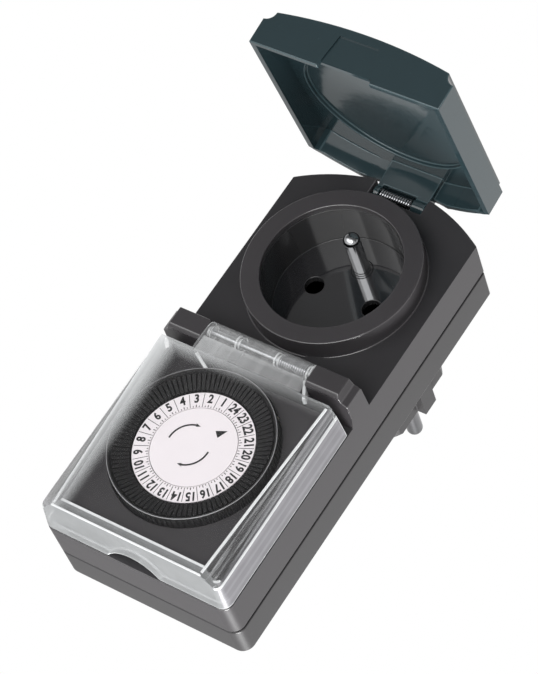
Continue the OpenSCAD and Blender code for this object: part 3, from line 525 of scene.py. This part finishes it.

# %% [markdown]
# ## Metals
# The earth pin and the plug pins are nickel plated and polished on a lathe, so their finest
# scratches run around them. Steel wire and brass strip carry scratches along the metal instead.
# A scratch is noise squeezed in one direction: it moves the roughness and a very shallow bump.
# The brass contacts stand deep in narrow holes, so their front is painted near black as shade.

# %% The recipe for metal
def metal(name, code, roughness, stretch, scratch=0.1, depth=0.001):
    """Metal with scratches that run along the directions in which stretch is small."""
    finish = Finish(name, Metallic=1.0)
    tone = rgb(code)
    lines = finish.noise(0.12, stretch, detail=4)
    patches = finish.noise(5)
    finish.feed("Base Color", finish.mix(patches, shade(tone, 0.9), shade(tone, 1.05)))
    finish.feed("Roughness", roughness + scratch*(lines - 0.4) + 0.06*(patches - 0.5))
    finish.bump(lines, depth)
    return finish


# %% Mix the metals
AROUND_Y = (0.15, 1, 0.15)
ALONG_X = (0.05, 1, 1)
ALONG_Z = (1, 1, 0.05)
pin_nickel = metal("pin_nickel", "#b4b5b7", 0.13, AROUND_Y, 0.06).material
metal("hinge_steel", "#b9bbbd", 0.3, ALONG_X)
spring_steel = metal("spring_steel", "#a6a7aa", 0.2, ALONG_X).material
metal("screw_steel", "#9a9c9f", 0.35, AROUND_Y)
brass = metal("contact_brass", "#c79a4b", 0.28, ALONG_Z)
plug_nickel = metal("plug_nickel", "#7c7c7e", 0.3, AROUND_Y, 0.06).material
metal("coil_copper", "#a35a2c", 0.35, AROUND_Y, 0.2, 0.02)
metal("motor_steel", "#a9abad", 0.32, AROUND_Y)
metal("rotor_metal", "#6b6d70", 0.4, AROUND_Y)
print("moulded and metal finishes:", len(FINISHES))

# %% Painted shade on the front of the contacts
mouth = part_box("contact_left")[0].y
# Painted shade: near black over the contact's first 6 mm, fading to brass by 12 mm.
depth = brass.wire("ShaderNodeMapRange", 0, None, {
    "Value": brass.along("Y"), "From Min": mouth + 6*MM, "From Max": mouth + 12*MM})
brass.feed("Base Color", brass.mix(depth, rgb("#050403"), brass.fed("Base Color")))
print("contacts start at y =", round(mouth/MM, 1), "mm")

# %% [markdown]
# ## Clear plastic
# The timer cover is one clear moulding, yet its faces look different. Its flat window is nearly
# invisible and carries a painted white reflection only towards the hinge and the left wall, the
# sloping faces show long flow lines, and the walls are frosted inside, so they look milky. Each
# is the same recipe with another amount of milk: how much of the surface is seen instead of what
# lies behind it. Alpha carries the milk, because it survives the export and stays readable at
# any angle, and a Layer Weight adds a painted sheen where light grazes.

# %% The recipe for clear plastic
def clear(name, milk, sheen, code="#e9ebec", roughness=0.12, streaks=0.0, patches=0.2,
          frost_depth=0.0):
    """Clear plastic: milk is its alpha, sheen what grazing light adds, streaks its flow lines."""
    finish = Finish(name, Specular_IOR_Level=0.6)
    tone = rgb(code)
    lines = finish.ramp(finish.noise(0.7, (1, 1, 0.004), detail=5), [(0.5, 0), (0.62, 1)])
    cloud = finish.noise(7)
    frost = finish.noise(0.35, detail=2)
    edge = finish.wire("ShaderNodeLayerWeight", "Facing", None, {"Blend": 0.35})
    finish.feed("Base Color", finish.mix(cloud, shade(tone, 0.85), tone))
    finish.feed("Roughness", roughness + 0.06*(cloud - 0.5) + 0.05*(frost - 0.5))
    body = milk*(1 - patches + 2*patches*cloud) + streaks*lines
    finish.feed("Alpha", body + sheen*edge)
    finish.bump(frost, 0.004*frost_depth)
    return finish


# %% A painted reflection over the window
def hazy(finish, left, right, low, high, most):
    """Adds a painted white reflection fading from the left wall and the hinge; places in metres.
    """
    def fade(axis, empty, full):
        return finish.wire("ShaderNodeMapRange", 0, {"interpolation_type": "SMOOTHSTEP"}, {
            "Value": finish.along(axis), "From Min": empty, "From Max": full})
    side = fade("X", right, left)
    hinge = fade("Z", low, high)*(0.2 + 0.5*fade("X", -right, left))
    glare_mask = finish.maths("MAXIMUM", side, hinge)
    finish.feed("Alpha", finish.fed("Alpha") + most*glare_mask)
    return finish


# %% Mix the clear finishes
cover_lo, cover_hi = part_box("timer_cover")
clear_window = hazy(clear("clear_window", milk=0.006, sheen=0.012),
                    left=cover_lo.x + 2*MM, right=cover_lo.x + 11*MM,
                    low=cover_hi.z - 15*MM, high=cover_hi.z - 8*MM, most=0.7).material
clear_slope = clear("clear_slope", milk=0.03, sheen=0.03, streaks=0.22).material
clear_side = clear("clear_side", 0.7, 0.05, "#848387", roughness=0.35, streaks=0.15,
                   patches=0.1, frost_depth=0.5).material
clear_front = clear("clear_front", 0.55, 0.1, "#989a9b", roughness=0.35, patches=0.12,
                    frost_depth=0.4).material
clear_edge = clear("clear_edge", 0.68, 0.1, "#eceeef", roughness=0.18, patches=0.05).material
clear_barrel = clear("clear_barrel", 0.09, 0.2, "#d4d5d6", roughness=0.15, streaks=0.1,
                     patches=0.7).material
print("the cover is", round((cover_hi.x - cover_lo.x)/MM, 1), "mm wide")

# %% [markdown]
# ## Printed ink
# The dial is tampo printed: a thin film of ink that is a little glossier than the disc below it
# and not quite even in its grey. A film has to sit just above the disc, or the two surfaces
# fight for the same place, so the prints are very thin solids.

# %% The ink
INK_MM = 0.03
ink_black = moulded("ink_black", "#1a1a1b", 0.4, grain_mm=0.15, grain_depth=0.001, drift=0.2)
print("ink film", INK_MM, "mm")

# %% [markdown]
# ## Shells with soft edges
# The two housings, the plug's body, the lid and the socket insert keep the shape of their solids.
# Each becomes a softened copy, rides on the body that its solid rides on, and stands for that
# solid. Two of them take a third finish as well. The deck around the socket, 53 mm in front of
# the wall, is painted darker, as shade, and is a little more matt than the rest. The round wall
# of the socket is painted lighter than its floor, as light, and is less polished. Which face gets
# it is read from where the face lies or looks.

# %% Choose a finish by face
DECK_Y = -0.053
DECK = WALL = 2


def deck_or_wall(face):
    """The deck round the socket gets a finish of its own: darker, as painted shade."""
    low = abs(face.calc_center_median().y - DECK_Y) < MM
    return DECK if low and face.normal.y < -0.9 else 0


def floor_or_wall(face):
    """The socket's floor is polished; its round wall is less so and painted lighter, as painted
    light.
    """
    return 0 if abs(face.normal.y) > 0.7 else WALL


# %% Dress the shells
SHELLS = [
    ("rear_housing", "rear_shell", 0.4, "housing", "rear_plastic", rear_edge),
    ("plug_body", "plug_shell", 0.3, "housing", "rear_plastic", rear_edge),
    ("socket_lid", "lid_shell", 0.3, "lid", "lid_plastic", lid_edge),
]
for node, name, width, body, slot, edge in SHELLS:
    dressed(softened(node, name, width), node, body, slot, FINISHES[slot], edge)
dressed(softened("socket_bowl", "socket_insert", 0.25, finish_of=floor_or_wall), "socket_bowl",
        "housing", "bowl_plastic", bowl_plastic, bowl_edge, bowl_wall)
dressed(softened("front_housing", "front_shell", 0.35, finish_of=deck_or_wall), "front_housing",
        "housing", "front_plastic", front_plastic, front_edge, deck_plastic)

# %% [markdown]
# ## The clear cover
# The cover is softened like the other shells. Its rounded edges take a bright, milky finish, a
# painted highlight along the edges of the clear plastic. The barrel of its hinge has a finish of
# its own, and each other face takes its finish from the way it looks.

# %% Dress the cover
COVER_FINISHES = [clear_window, clear_slope, clear_side, clear_front, clear_barrel, clear_edge]
WINDOW, SLOPE, SIDE, FRONT, BARREL, EDGE = range(len(COVER_FINISHES))
barrel_start = cover_hi.z - 8.5*MM


def cover_finish(face):
    """Which finish a face of the cover takes."""
    if face.calc_center_median().z > barrel_start:
        return BARREL
    forward, sideways = abs(face.normal.y), abs(face.normal.x)
    if forward > 0.97:
        return WINDOW
    if forward > 0.45 and sideways > 0.3:
        return SLOPE
    return SIDE if sideways > 0.5 else FRONT


cover = softened("timer_cover", "clear_cover", 0.4, 20, cover_finish, EDGE)
dressed(cover, "timer_cover", "cover", "clear_plastic", *COVER_FINISHES)
print("the cover has", len(cover.data.polygons), "faces")

# %% [markdown]
# ## Ribs and bright lines on the cover: painted highlights
# Two short ribs stand beside the cover's hinge, and the two long edges of its window carry a
# line of light. Both are painted highlights. A texture could draw them, but a line in a texture
# stays the same from every side, so each is a thin bar in the bright, milky edge finish. A row of
# the table gives a bar's name, its two ends, half its width, how low and how high it lies and
# its chamfer, all in millimetres and measured from the timer's end of the deck.

# %% Lay the ribs and the bright lines: painted highlights
TIMER_END_Z = -0.0993
BARS = [("rib_left", (-16.1, 58.4), (-10.5, 55.2), 0.45, 8.2, 10.6, 0.2),
        ("rib_right", (15.8, 63.3), (18.7, 58.2), 0.45, 8.2, 10.6, 0.2),
        ("edge_line_left", (-23.8, 3.0), (-26.8, 57.5), 0.24, 12.05, 12.5, 0.08),
        ("edge_line_right", (23.8, 3.0), (26.8, 57.5), 0.3, 12.05, 12.5, 0.08)]
bench = facing(Vector((0, DECK_Y, TIMER_END_Z)))
for name, start, end, half_w, low, high, chamfer in BARS:
    span = Vector(end) - Vector(start)
    bar = new_piece(name, chamfered_bar(0, span.length, half_w, low, (high, high), chamfer))
    turned = Matrix.Rotation(math.atan2(span.y, span.x), 4, "Z")
    bar.data.transform(bench @ Matrix.Translation((*start, 0)) @ turned)
    carried(bar, "cover", "clear_plastic", clear_edge)
    print(name, "is", round(span.length, 1), "mm long")

# %% [markdown]
# ## Geometry nodes for what repeats
# Tappets, hour lines and quarter marks all stand in rings. One tree makes every ring: it takes
# the piece's own mesh as the pattern, puts one point for each copy at the centre and turns it to
# its bearing. The number of copies, the first bearing, the step and the finish are named inputs.
# Nothing in it is random, so it needs no seed. The tree ends in Realize Instances and Set
# Material, and the result becomes a plain mesh.

# %% Build and apply trees
def new_tree(name, inputs):
    """A geometry tree with named inputs, its sheet, and the node that gives the inputs."""
    tree = bpy.data.node_groups.new(name, "GeometryNodeTree")
    face = tree.interface
    face.new_socket("Geometry", in_out="INPUT", socket_type="NodeSocketGeometry")
    for label, kind in inputs:
        face.new_socket(label, in_out="INPUT", socket_type="NodeSocket" + kind)
    face.new_socket("Geometry", in_out="OUTPUT", socket_type="NodeSocketGeometry")
    sheet = Sheet(tree)
    given = sheet.node("NodeGroupInput")
    return sheet, lambda label: Wire(sheet, given.outputs[label])


def finish_tree(sheet, geometry, material):
    """Ends a tree: real geometry, one material."""
    real = sheet.wire("GeometryNodeRealizeInstances", 0, None, {0: geometry})
    coated = sheet.wire("GeometryNodeSetMaterial", 0, None, {0: real, "Material": material})
    sheet.node("NodeGroupOutput", None, {0: coated})
    return sheet.tree


# %% Run a tree and keep its mesh
def grown(piece, tree, values):
    """Runs a tree on a piece, with values for its named inputs, and keeps the result as a mesh."""
    modifier = piece.modifiers.new(tree.name, "NODES")
    modifier.node_group = tree
    for item in tree.interface.items_tree:
        if item.name in values:
            modifier[item.identifier] = values[item.name]
    graph = bpy.context.evaluated_depsgraph_get()
    mesh = bpy.data.meshes.new_from_object(piece.evaluated_get(graph))
    piece.modifiers.clear()
    pattern = piece.data
    piece.data = mesh
    mesh.name = piece.name
    bpy.data.meshes.remove(pattern)
    print(piece.name, "grew to", len(mesh.polygons), "faces")
    return piece


# %% The ring tree
ring_sheet, ring_input = new_tree("ring_of_copies", [
    ("Copies", "Int"), ("First bearing", "Float"), ("Step", "Float"), ("Finish", "Material")])
count = ring_sheet.wire("GeometryNodeInputIndex", 0)
bearing = ring_input("First bearing") + ring_input("Step")*count
turn = ring_sheet.wire("ShaderNodeCombineXYZ", 0, None, {"Z": bearing})
points = ring_sheet.wire("GeometryNodePoints", 0, None, {"Count": ring_input("Copies")})
copies = ring_sheet.wire("GeometryNodeInstanceOnPoints", 0, None, {
    "Points": points, "Instance": ring_input("Geometry"), "Rotation": turn})
ring_tree = finish_tree(ring_sheet, copies, ring_input("Finish"))
print("ring tree has", len(ring_tree.nodes), "nodes")

# %% [markdown]
# ## Tappets
# A tappet is a small black slider that is pushed in by hand to set a switching time. Its top is
# chamfered, so that the ring shows as fine radial lines. One tappet is drawn at bearing zero and
# the ring tree repeats it; three of them move on their own and are drawn one by one.

# %% Measure the ring of tappets
dial_axis = face_centre("numeral_ring")
tappet_out = half_width_mm("dial_tappets")


def top_at(radius_mm):
    """How high the tappets stand over the dial's face at a distance from its axis."""
    ys = [v.co.y for v in nodes["dial_tappets"].data.vertices
          if abs(math.hypot(v.co.x - dial_axis.x, v.co.z - dial_axis.z)/MM - radius_mm) < 0.2]
    return (dial_axis.y - min(ys))/MM


TAPPETS = 96
HOUR_LINE = 113.2
LOOSE = (3, 4, 5)
PITCH = 360/TAPPETS
tappet_in = ring_r + 0.5
tappet_tops = (top_at(tappet_in), top_at(tappet_out))
print("tappet tops rise from", round(tappet_tops[0], 2), "to", round(tappet_tops[1], 2), "mm")

# %% Draw one tappet
HALF_W = 0.475
FOOT = -2.6


def tappet_mesh():
    """One tappet head at bearing zero."""
    return chamfered_bar(tappet_in, tappet_out, HALF_W, FOOT, tappet_tops, 0.06)


def bearing_of(index):
    """Bearing of a tappet, in radians, counted clockwise from the hour line."""
    return math.radians(HOUR_LINE - (index + 0.5)*PITCH)


# %% Fill the ring
ring = new_piece("tappet_ring", tappet_mesh())
grown(ring, ring_tree, {"Copies": TAPPETS - len(LOOSE), "First bearing": bearing_of(LOOSE[-1] + 1),
                        "Step": -math.radians(PITCH), "Finish": tappet_plastic})
ring.data.transform(dial_face)
dressed(ring, "dial_tappets", "dial", "tappet_plastic")

for number, index in enumerate(LOOSE, 1):
    loose = new_piece(f"loose_tappet_{number}", tappet_mesh())
    loose.data.transform(dial_face @ Matrix.Rotation(bearing_of(index), 4, "Z"))
    dressed(loose, f"tappet_{number}", "tappet_" + "abc"[number - 1], "tappet_plastic",
            tappet_plastic)

# %% [markdown]
# ## The printed dial
# Hour lines cross the white ring, three short marks split each hour into quarters, and the
# numerals stand with their tops outward. Lines and marks come from the ring tree. Numerals are
# text, turned into a mesh before it is placed, slightly narrowed and thickened like the bold
# type on a real dial.

# %% Hour lines and quarter marks
def ink_bar(x0, x1, width):
    """A thin printed bar along x."""
    return chamfered_bar(x0, x1, width/2, -INK_MM, (INK_MM, INK_MM), 0.005)


HOURS = 24
HOUR_STEP = math.radians(360/HOURS)
first_hour = math.radians(HOUR_LINE)
mark_in = disc_r + 0.35
marks = []
for name, length, width, offsets in [
        ("hour_lines", ring_r - 0.25 - mark_in, 0.16, (0,)),
        ("half_marks", 0.75, 0.22, (0.5,)),
        ("quarter_marks", 0.45, 0.2, (0.25, 0.75))]:
    for offset in offsets:
        mark = new_piece(name, ink_bar(mark_in, mark_in + length, width))
        grown(mark, ring_tree, {"Copies": HOURS, "First bearing": first_hour + offset*HOUR_STEP,
                                "Step": HOUR_STEP, "Finish": ink_black})
        marks.append(mark)

# %% Numerals
NUMERAL_H = 2.7
NUMERAL_R = 14.95
NUMERAL_SQUEEZE = 0.82
BOLDER = 0.034
HALF_DEPTH = 0.01


def printed_text(words, height, squeeze):
    """Text as a thin mesh, centred on the origin."""
    curve = bpy.data.curves.new("numeral", "FONT")
    curve.body = words
    curve.align_x = "CENTER"
    curve.offset = BOLDER
    curve.extrude = HALF_DEPTH
    curve.resolution_u = 3
    holder = bpy.data.objects.new("numeral", curve)
    scene.collection.objects.link(holder)
    graph = bpy.context.evaluated_depsgraph_get()
    mesh = bpy.data.meshes.new_from_object(holder.evaluated_get(graph))
    bpy.data.objects.remove(holder)
    xs = [v.co.x for v in mesh.vertices]
    ys = [v.co.y for v in mesh.vertices]
    scale = height/(max(ys) - min(ys))
    centre = Vector(((max(xs) + min(xs))/2, (max(ys) + min(ys))/2, 0))
    size = Matrix.Diagonal((scale*squeeze, scale, INK_MM/HALF_DEPTH, 1))
    mesh.transform(size @ Matrix.Translation(-centre))
    return mesh


# %% Print the ring
def numeral_place(hour):
    """Where the numeral of an hour stands: tops outward, halfway between two hour lines."""
    angle = first_hour + (hour - 2.5)*HOUR_STEP
    return (Matrix.Rotation(angle, 4, "Z") @ Matrix.Translation((NUMERAL_R, 0, 0))
            @ Matrix.Rotation(-math.pi/2, 4, "Z"))


prints = [(printed_text(str(h), NUMERAL_H, NUMERAL_SQUEEZE), numeral_place(h))
          for h in range(1, HOURS + 1)]
prints += [(mark.data, Matrix.Identity(4)) for mark in marks]
dial_print = joined("dial_print", prints, dial_face)
for mark in marks:
    bpy.data.objects.remove(mark)
dial_print.data.materials.clear()
carried(dial_print, "dial", "dial_black", ink_black)
print("dial print has", len(dial_print.data.polygons), "faces")

# %% [markdown]
# ## The fixed disc
# The disc in the middle stands still and tells the user what to do: two arrows show which way
# the dial turns, and a triangle shows the present time. Each is a flat outline: an arc with a
# barbed head, worked out from its two bearings, and a triangle from three points.

# %% Flat shapes from outlines
def slab(outline, z0, z1):
    """A flat shape from outline points, with a thickness."""
    work = bmesh.new()
    low = [work.verts.new((x, y, z0)) for x, y in outline]
    high = [work.verts.new((x, y, z1)) for x, y in outline]
    work.faces.new(list(reversed(low)))
    work.faces.new(high)
    for i in range(len(outline)):
        j = (i + 1) % len(outline)
        work.faces.new((low[i], low[j], high[j], high[i]))
    bmesh.ops.recalc_face_normals(work, faces=work.faces)
    mesh = bpy.data.meshes.new("slab")
    work.to_mesh(mesh)
    work.free()
    return mesh


# %% Curved arrows
ARROW_R = 6.1
ARROW_OFF = -1.6
ARROW_W = 0.5
ARROW_STEPS = 20


def ring_point(radius, degrees):
    """A point on a circle around the arrows' centre."""
    a = math.radians(degrees)
    return (ARROW_OFF + radius*math.cos(a), radius*math.sin(a))


def arrow(tail, head):
    """A curved arrow that runs clockwise from the tail's bearing to the head's."""
    steps = [tail + (head + 9 - tail)*i/ARROW_STEPS for i in range(ARROW_STEPS + 1)]
    outer = [ring_point(ARROW_R + ARROW_W/2, s) for s in steps]
    inner = [ring_point(ARROW_R - ARROW_W/2, s) for s in reversed(steps)]
    barbs = [ring_point(ARROW_R + 0.62, head + 12), ring_point(ARROW_R - 0.05, head - 3),
             ring_point(ARROW_R - 0.5, head + 10)]
    return slab(outer + barbs + inner, -INK_MM, INK_MM)


# %% Print the disc
time_mark = slab([(5.7, 7.96), (2.69, 6.63), (4.34, 5.05)], -INK_MM, INK_MM)
upright = Matrix.Identity(4)
disc_face = facing(face_centre("centre_disc"))
disc_print = joined("disc_print", [(arrow(183.6, 94), upright), (arrow(4, -84), upright),
                                   (time_mark, upright)], disc_face)
carried(disc_print, "housing", "dial_black", ink_black)
print("disc print has", len(disc_print.data.polygons), "faces")

# %% [markdown]
# ## Springs
# Both hinges are sprung with a close coil of bright wire around the pin. A coil follows a rule,
# so a tree makes it: a spiral curve swept by a small circle. Its radius and its length are
# measured on the plain solid that stands for the coil, and its turns and its wire are given.

# %% The coil tree
coil_sheet, coil_input = new_tree("coil", [
    ("Turns", "Float"), ("Radius", "Float"), ("Length", "Float"), ("Wire", "Float"),
    ("Finish", "Material")])
spiral = coil_sheet.wire("GeometryNodeCurveSpiral", 0, None, {
    "Resolution": 20, "Rotations": coil_input("Turns"), "Start Radius": coil_input("Radius"),
    "End Radius": coil_input("Radius"), "Height": coil_input("Length")})
section = coil_sheet.wire("GeometryNodeCurvePrimitiveCircle", 0, None, {
    "Resolution": 10, "Radius": coil_input("Wire")})
swept = coil_sheet.node("GeometryNodeCurveToMesh", None, {
    "Curve": spiral, "Profile Curve": section, "Fill Caps": True})
coil_tree = finish_tree(coil_sheet, Wire(coil_sheet, swept.outputs[0]), coil_input("Finish"))
print("coil tree has", len(coil_tree.nodes), "nodes")

# %% Wind both springs
COIL_WIRE = 0.3


def wind(node, name, turns):
    """A coil along X in place of a plain solid."""
    lo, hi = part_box(node)
    radius = (hi.z - lo.z)/2/MM - COIL_WIRE
    length = (hi.x - lo.x)/MM - 2*COIL_WIRE
    piece = new_piece(name, bpy.data.meshes.new(name))
    grown(piece, coil_tree, {"Turns": float(turns), "Radius": radius, "Length": length,
                             "Wire": COIL_WIRE, "Finish": spring_steel})
    middle = (lo + hi)/2
    start = Matrix.Translation((lo.x + COIL_WIRE*MM, middle.y, middle.z))
    piece.data.transform(start @ Matrix.Rotation(math.pi/2, 4, "Y") @ Matrix.Scale(MM, 4))
    smooth(piece.data, 60)
    dressed(piece, node, "housing", "spring_steel")


wind("socket_lid_spring", "lid_coil", 13)
wind("timer_cover_spring", "cover_coil", 12)

# %% [markdown]
# ## Turned pins
# The earth pin and the plug pins are turned on a lathe. Spinning a profile gives the same
# shape: a straight shank, a small shoulder line and a domed end. Each profile is a list of
# (height, radius) pairs as long as the pin's own box, and it meets the axis at both ends.
# Where the earth pin leaves the socket floor it wears a sleeve of the socket's own plastic, with
# a fine gap around the metal. A ring is a spin too: a thin light grey bead on the dial's rim, a
# painted highlight, is a small circle spun far from the axis.

# %% Spin a profile
def spun(name, profile, steps=48):
    """A solid of revolution around local z, from (z, radius) pairs in millimetres."""
    work = bmesh.new()
    rings = []
    for z, r in profile:
        if r < 1e-6:
            rings.append([work.verts.new((0, 0, z))])
        else:
            turns = [2*math.pi*i/steps for i in range(steps)]
            rings.append([work.verts.new((r*math.cos(a), r*math.sin(a), z)) for a in turns])
    for low, high in zip(rings, rings[1:]):
        for i in range(steps):
            j = (i + 1) % steps
            corners = [low[i % len(low)], low[j % len(low)], high[j % len(high)],
                       high[i % len(high)]]
            unique = list(dict.fromkeys(corners))
            if len(unique) > 2:
                work.faces.new(unique)
    bmesh.ops.recalc_face_normals(work, faces=work.faces)
    mesh = bpy.data.meshes.new(name)
    work.to_mesh(mesh)
    work.free()
    return mesh


def dome(z_base, radius, height, steps=10):
    """Profile points of a domed end that starts at z_base."""
    return [(z_base + height*math.sin(a), radius*math.cos(a))
            for a in [math.pi/2*i/steps for i in range(1, steps)]] + [(z_base + height, 0)]


# %% The earth pin
def length_mm(node):
    """How long a pin is from front to back."""
    lo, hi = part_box(node)
    return (hi.y - lo.y)/MM


PIN_R = 2.4
BOWL_FLOOR = 15.7
SLEEVE = 0.03
earth_length = length_mm("earth_pin")
earth_profile = [(-earth_length, 0), (-earth_length, 3.6), (-BOWL_FLOOR - 2.3, 3.6),
                 (-BOWL_FLOOR - 2.3, 2.98), (-BOWL_FLOOR - SLEEVE, 2.98),
                 (-BOWL_FLOOR - SLEEVE, PIN_R + 0.12), (-BOWL_FLOOR - 0.4, PIN_R + 0.12),
                 (-BOWL_FLOOR - 0.4, PIN_R), (-2.16, PIN_R), (-2.12, PIN_R - 0.12),
                 (-2.06, PIN_R - 0.12), (-2.02, PIN_R)]
earth_profile += dome(-2.02, PIN_R, 2.02)
earth = new_piece("earth_contact", spun("earth_contact", earth_profile))
for face in earth.data.polygons:
    face.material_index = int(face.center.z < -BOWL_FLOOR)
earth.data.transform(facing(face_centre("earth_pin")))
smooth(earth.data, 40)
dressed(earth, "earth_pin", "housing", "pin_nickel", pin_nickel, bowl_plastic)
print("earth pin stands", BOWL_FLOOR, "mm over the socket floor")

# %% A painted highlight on the dial's rim
BEAD_R = 0.12
BEAD_INSET = 0.14
bead_profile = [(BEAD_R*math.sin(a), rim_r - BEAD_INSET + BEAD_R*math.cos(a))
                for a in [2*math.pi*i/10 for i in range(11)]]
bead = new_piece("rim_highlight_bead", spun("rim_highlight_bead", bead_profile, 96))
rim_front = face_centre("dial_wheel") + Vector((0, BEAD_INSET*MM, 0))
bead.data.transform(facing(rim_front))
smooth(bead.data, 80)
carried(bead, "dial", "dial_black", dial_edge)
print("bead is", 2*BEAD_R, "mm thick")

# %% The plug pins
for side in ("left", "right"):
    node = "plug_pin_" + side
    length = length_mm(node)
    profile = [(0, 0), (0, 3.6), (-2, 3.6), (-2, 3.0), (-6, 3.0), (-6, PIN_R),
               (-length + PIN_R, PIN_R)]
    tip = [(-length + PIN_R - z, r) for z, r in dome(0, PIN_R, PIN_R)]
    pin = new_piece("live_pin_" + side, spun("live_pin", profile + tip))
    pin.data.transform(facing(face_centre(node)))
    smooth(pin.data, 40)
    dressed(pin, node, "housing", "pin_nickel", plug_nickel)
    print(node, "is", round(length, 1), "mm long with its root")

# %% [markdown]
# ## Everything else keeps its solid
# The solids that are already the right shape only need their finish. The record names a
# material slot for every node, and where a finish belongs to a slot it is kept under the slot's
# name, so one loop dresses them all.

# %% Dress the other nodes
slot_of = {part["node"]: part["material_slot"] for part in frame["record"]["subparts"]}
for name, solid in nodes.items():
    finish = FINISHES.get(slot_of.get(name))
    if finish:
        solid.data.materials.clear()
        solid.data.materials.append(finish)
print("nodes dressed:", sum(1 for o in nodes.values() if o.data.materials))

# %% [markdown]
# ## Light and background
# A plain studio: a pale floor far below, a white world behind the object and three soft lights.
# The large one stands in front and below, a weak one stands at the front left, and a small one
# shines from behind the deck onto the right side and the lower end. The floor glows a little,
# so that it stays pale where none of them reaches. The world is white where the camera sees it
# and where gloss mirrors it from behind, but gives only a quiet grey to the object itself.

# %% The floor
FLOOR_Z = -0.7
FLOOR_REACH = 40
CORNERS = ((-1, -1), (1, -1), (1, 1), (-1, 1))
floor_mesh = bpy.data.meshes.new("studio_floor")
floor_mesh.from_pydata([(x*FLOOR_REACH, y*FLOOR_REACH, FLOOR_Z) for x, y in CORNERS], [],
                       [(0, 1, 2, 3)])
floor = new_piece("studio_floor", floor_mesh)
floor_finish = Finish("studio_pale", Roughness=0.8, Emission_Color=(1, 1, 1, 1),
                      Emission_Strength=0.18)
floor_finish.feed("Base Color", floor_finish.mix(floor_finish.noise(400), rgb("#f2f2f2"),
                                                 rgb("#f7f7f7")))
floor.data.materials.append(floor_finish.material)
print("the floor lies", -FLOOR_Z, "m below the plug")

# %% The lights
middle = (cad_box[0] + cad_box[1])/2


def soft_light(name, way, size, watts):
    """A round soft light that stands at way from the middle of the timer and looks at it."""
    lamp = bpy.data.lights.new(name, "AREA")
    lamp.shape = "DISK"
    lamp.size = size
    lamp.energy = watts
    holder = bpy.data.objects.new(name, lamp)
    place = middle + way
    holder.location = place
    holder.rotation_euler = (middle - place).to_track_quat("-Z", "Y").to_euler()
    scene.collection.objects.link(holder)
    print(name, "stands", round(way.length, 2), "m away and gives", watts, "W")


soft_light("front_box", Vector((0.17, -0.80, -0.57))*0.95, 0.9, 9.3)
soft_light("left_box", Vector((-0.47, -0.80, -0.37))*0.9, 0.55, 1.3)
soft_light("side_box", Vector((0.42, 0.34, -0.48)), 0.38, 9.9)

# %% The world
world = bpy.data.worlds.new("studio_world")
world.use_nodes = True
scene.world = world
sky = Sheet(world.node_tree)
world.node_tree.nodes.clear()
ray = sky.node("ShaderNodeLightPath")
seen = Wire(sky, ray.outputs["Is Camera Ray"])
mirrored = sky.maths("MAXIMUM", Wire(sky, ray.outputs["Is Glossy Ray"]),
                     Wire(sky, ray.outputs["Is Transmission Ray"]))
direction = sky.wire("ShaderNodeTexCoord", "Generated")
behind = sky.wire("ShaderNodeSeparateXYZ", 1, None, {0: direction})
backdrop = sky.wire("ShaderNodeMapRange", 0, None, {
    "Value": behind, "From Min": -0.5, "From Max": 0.2, "To Min": 0.15, "To Max": 1.0})
AMBIENT = 0.47
strength = sky.maths("MAXIMUM", seen, mirrored*backdrop + (1 - mirrored)*AMBIENT)
glow = sky.node("ShaderNodeBackground", None, {"Color": (1, 1, 1, 1), "Strength": strength})
sky.node("ShaderNodeOutputWorld", None, {"Surface": Wire(sky, glow.outputs[0])})
scene.view_settings.view_transform = "Standard"
print("the world gives the object", AMBIENT, "of white")
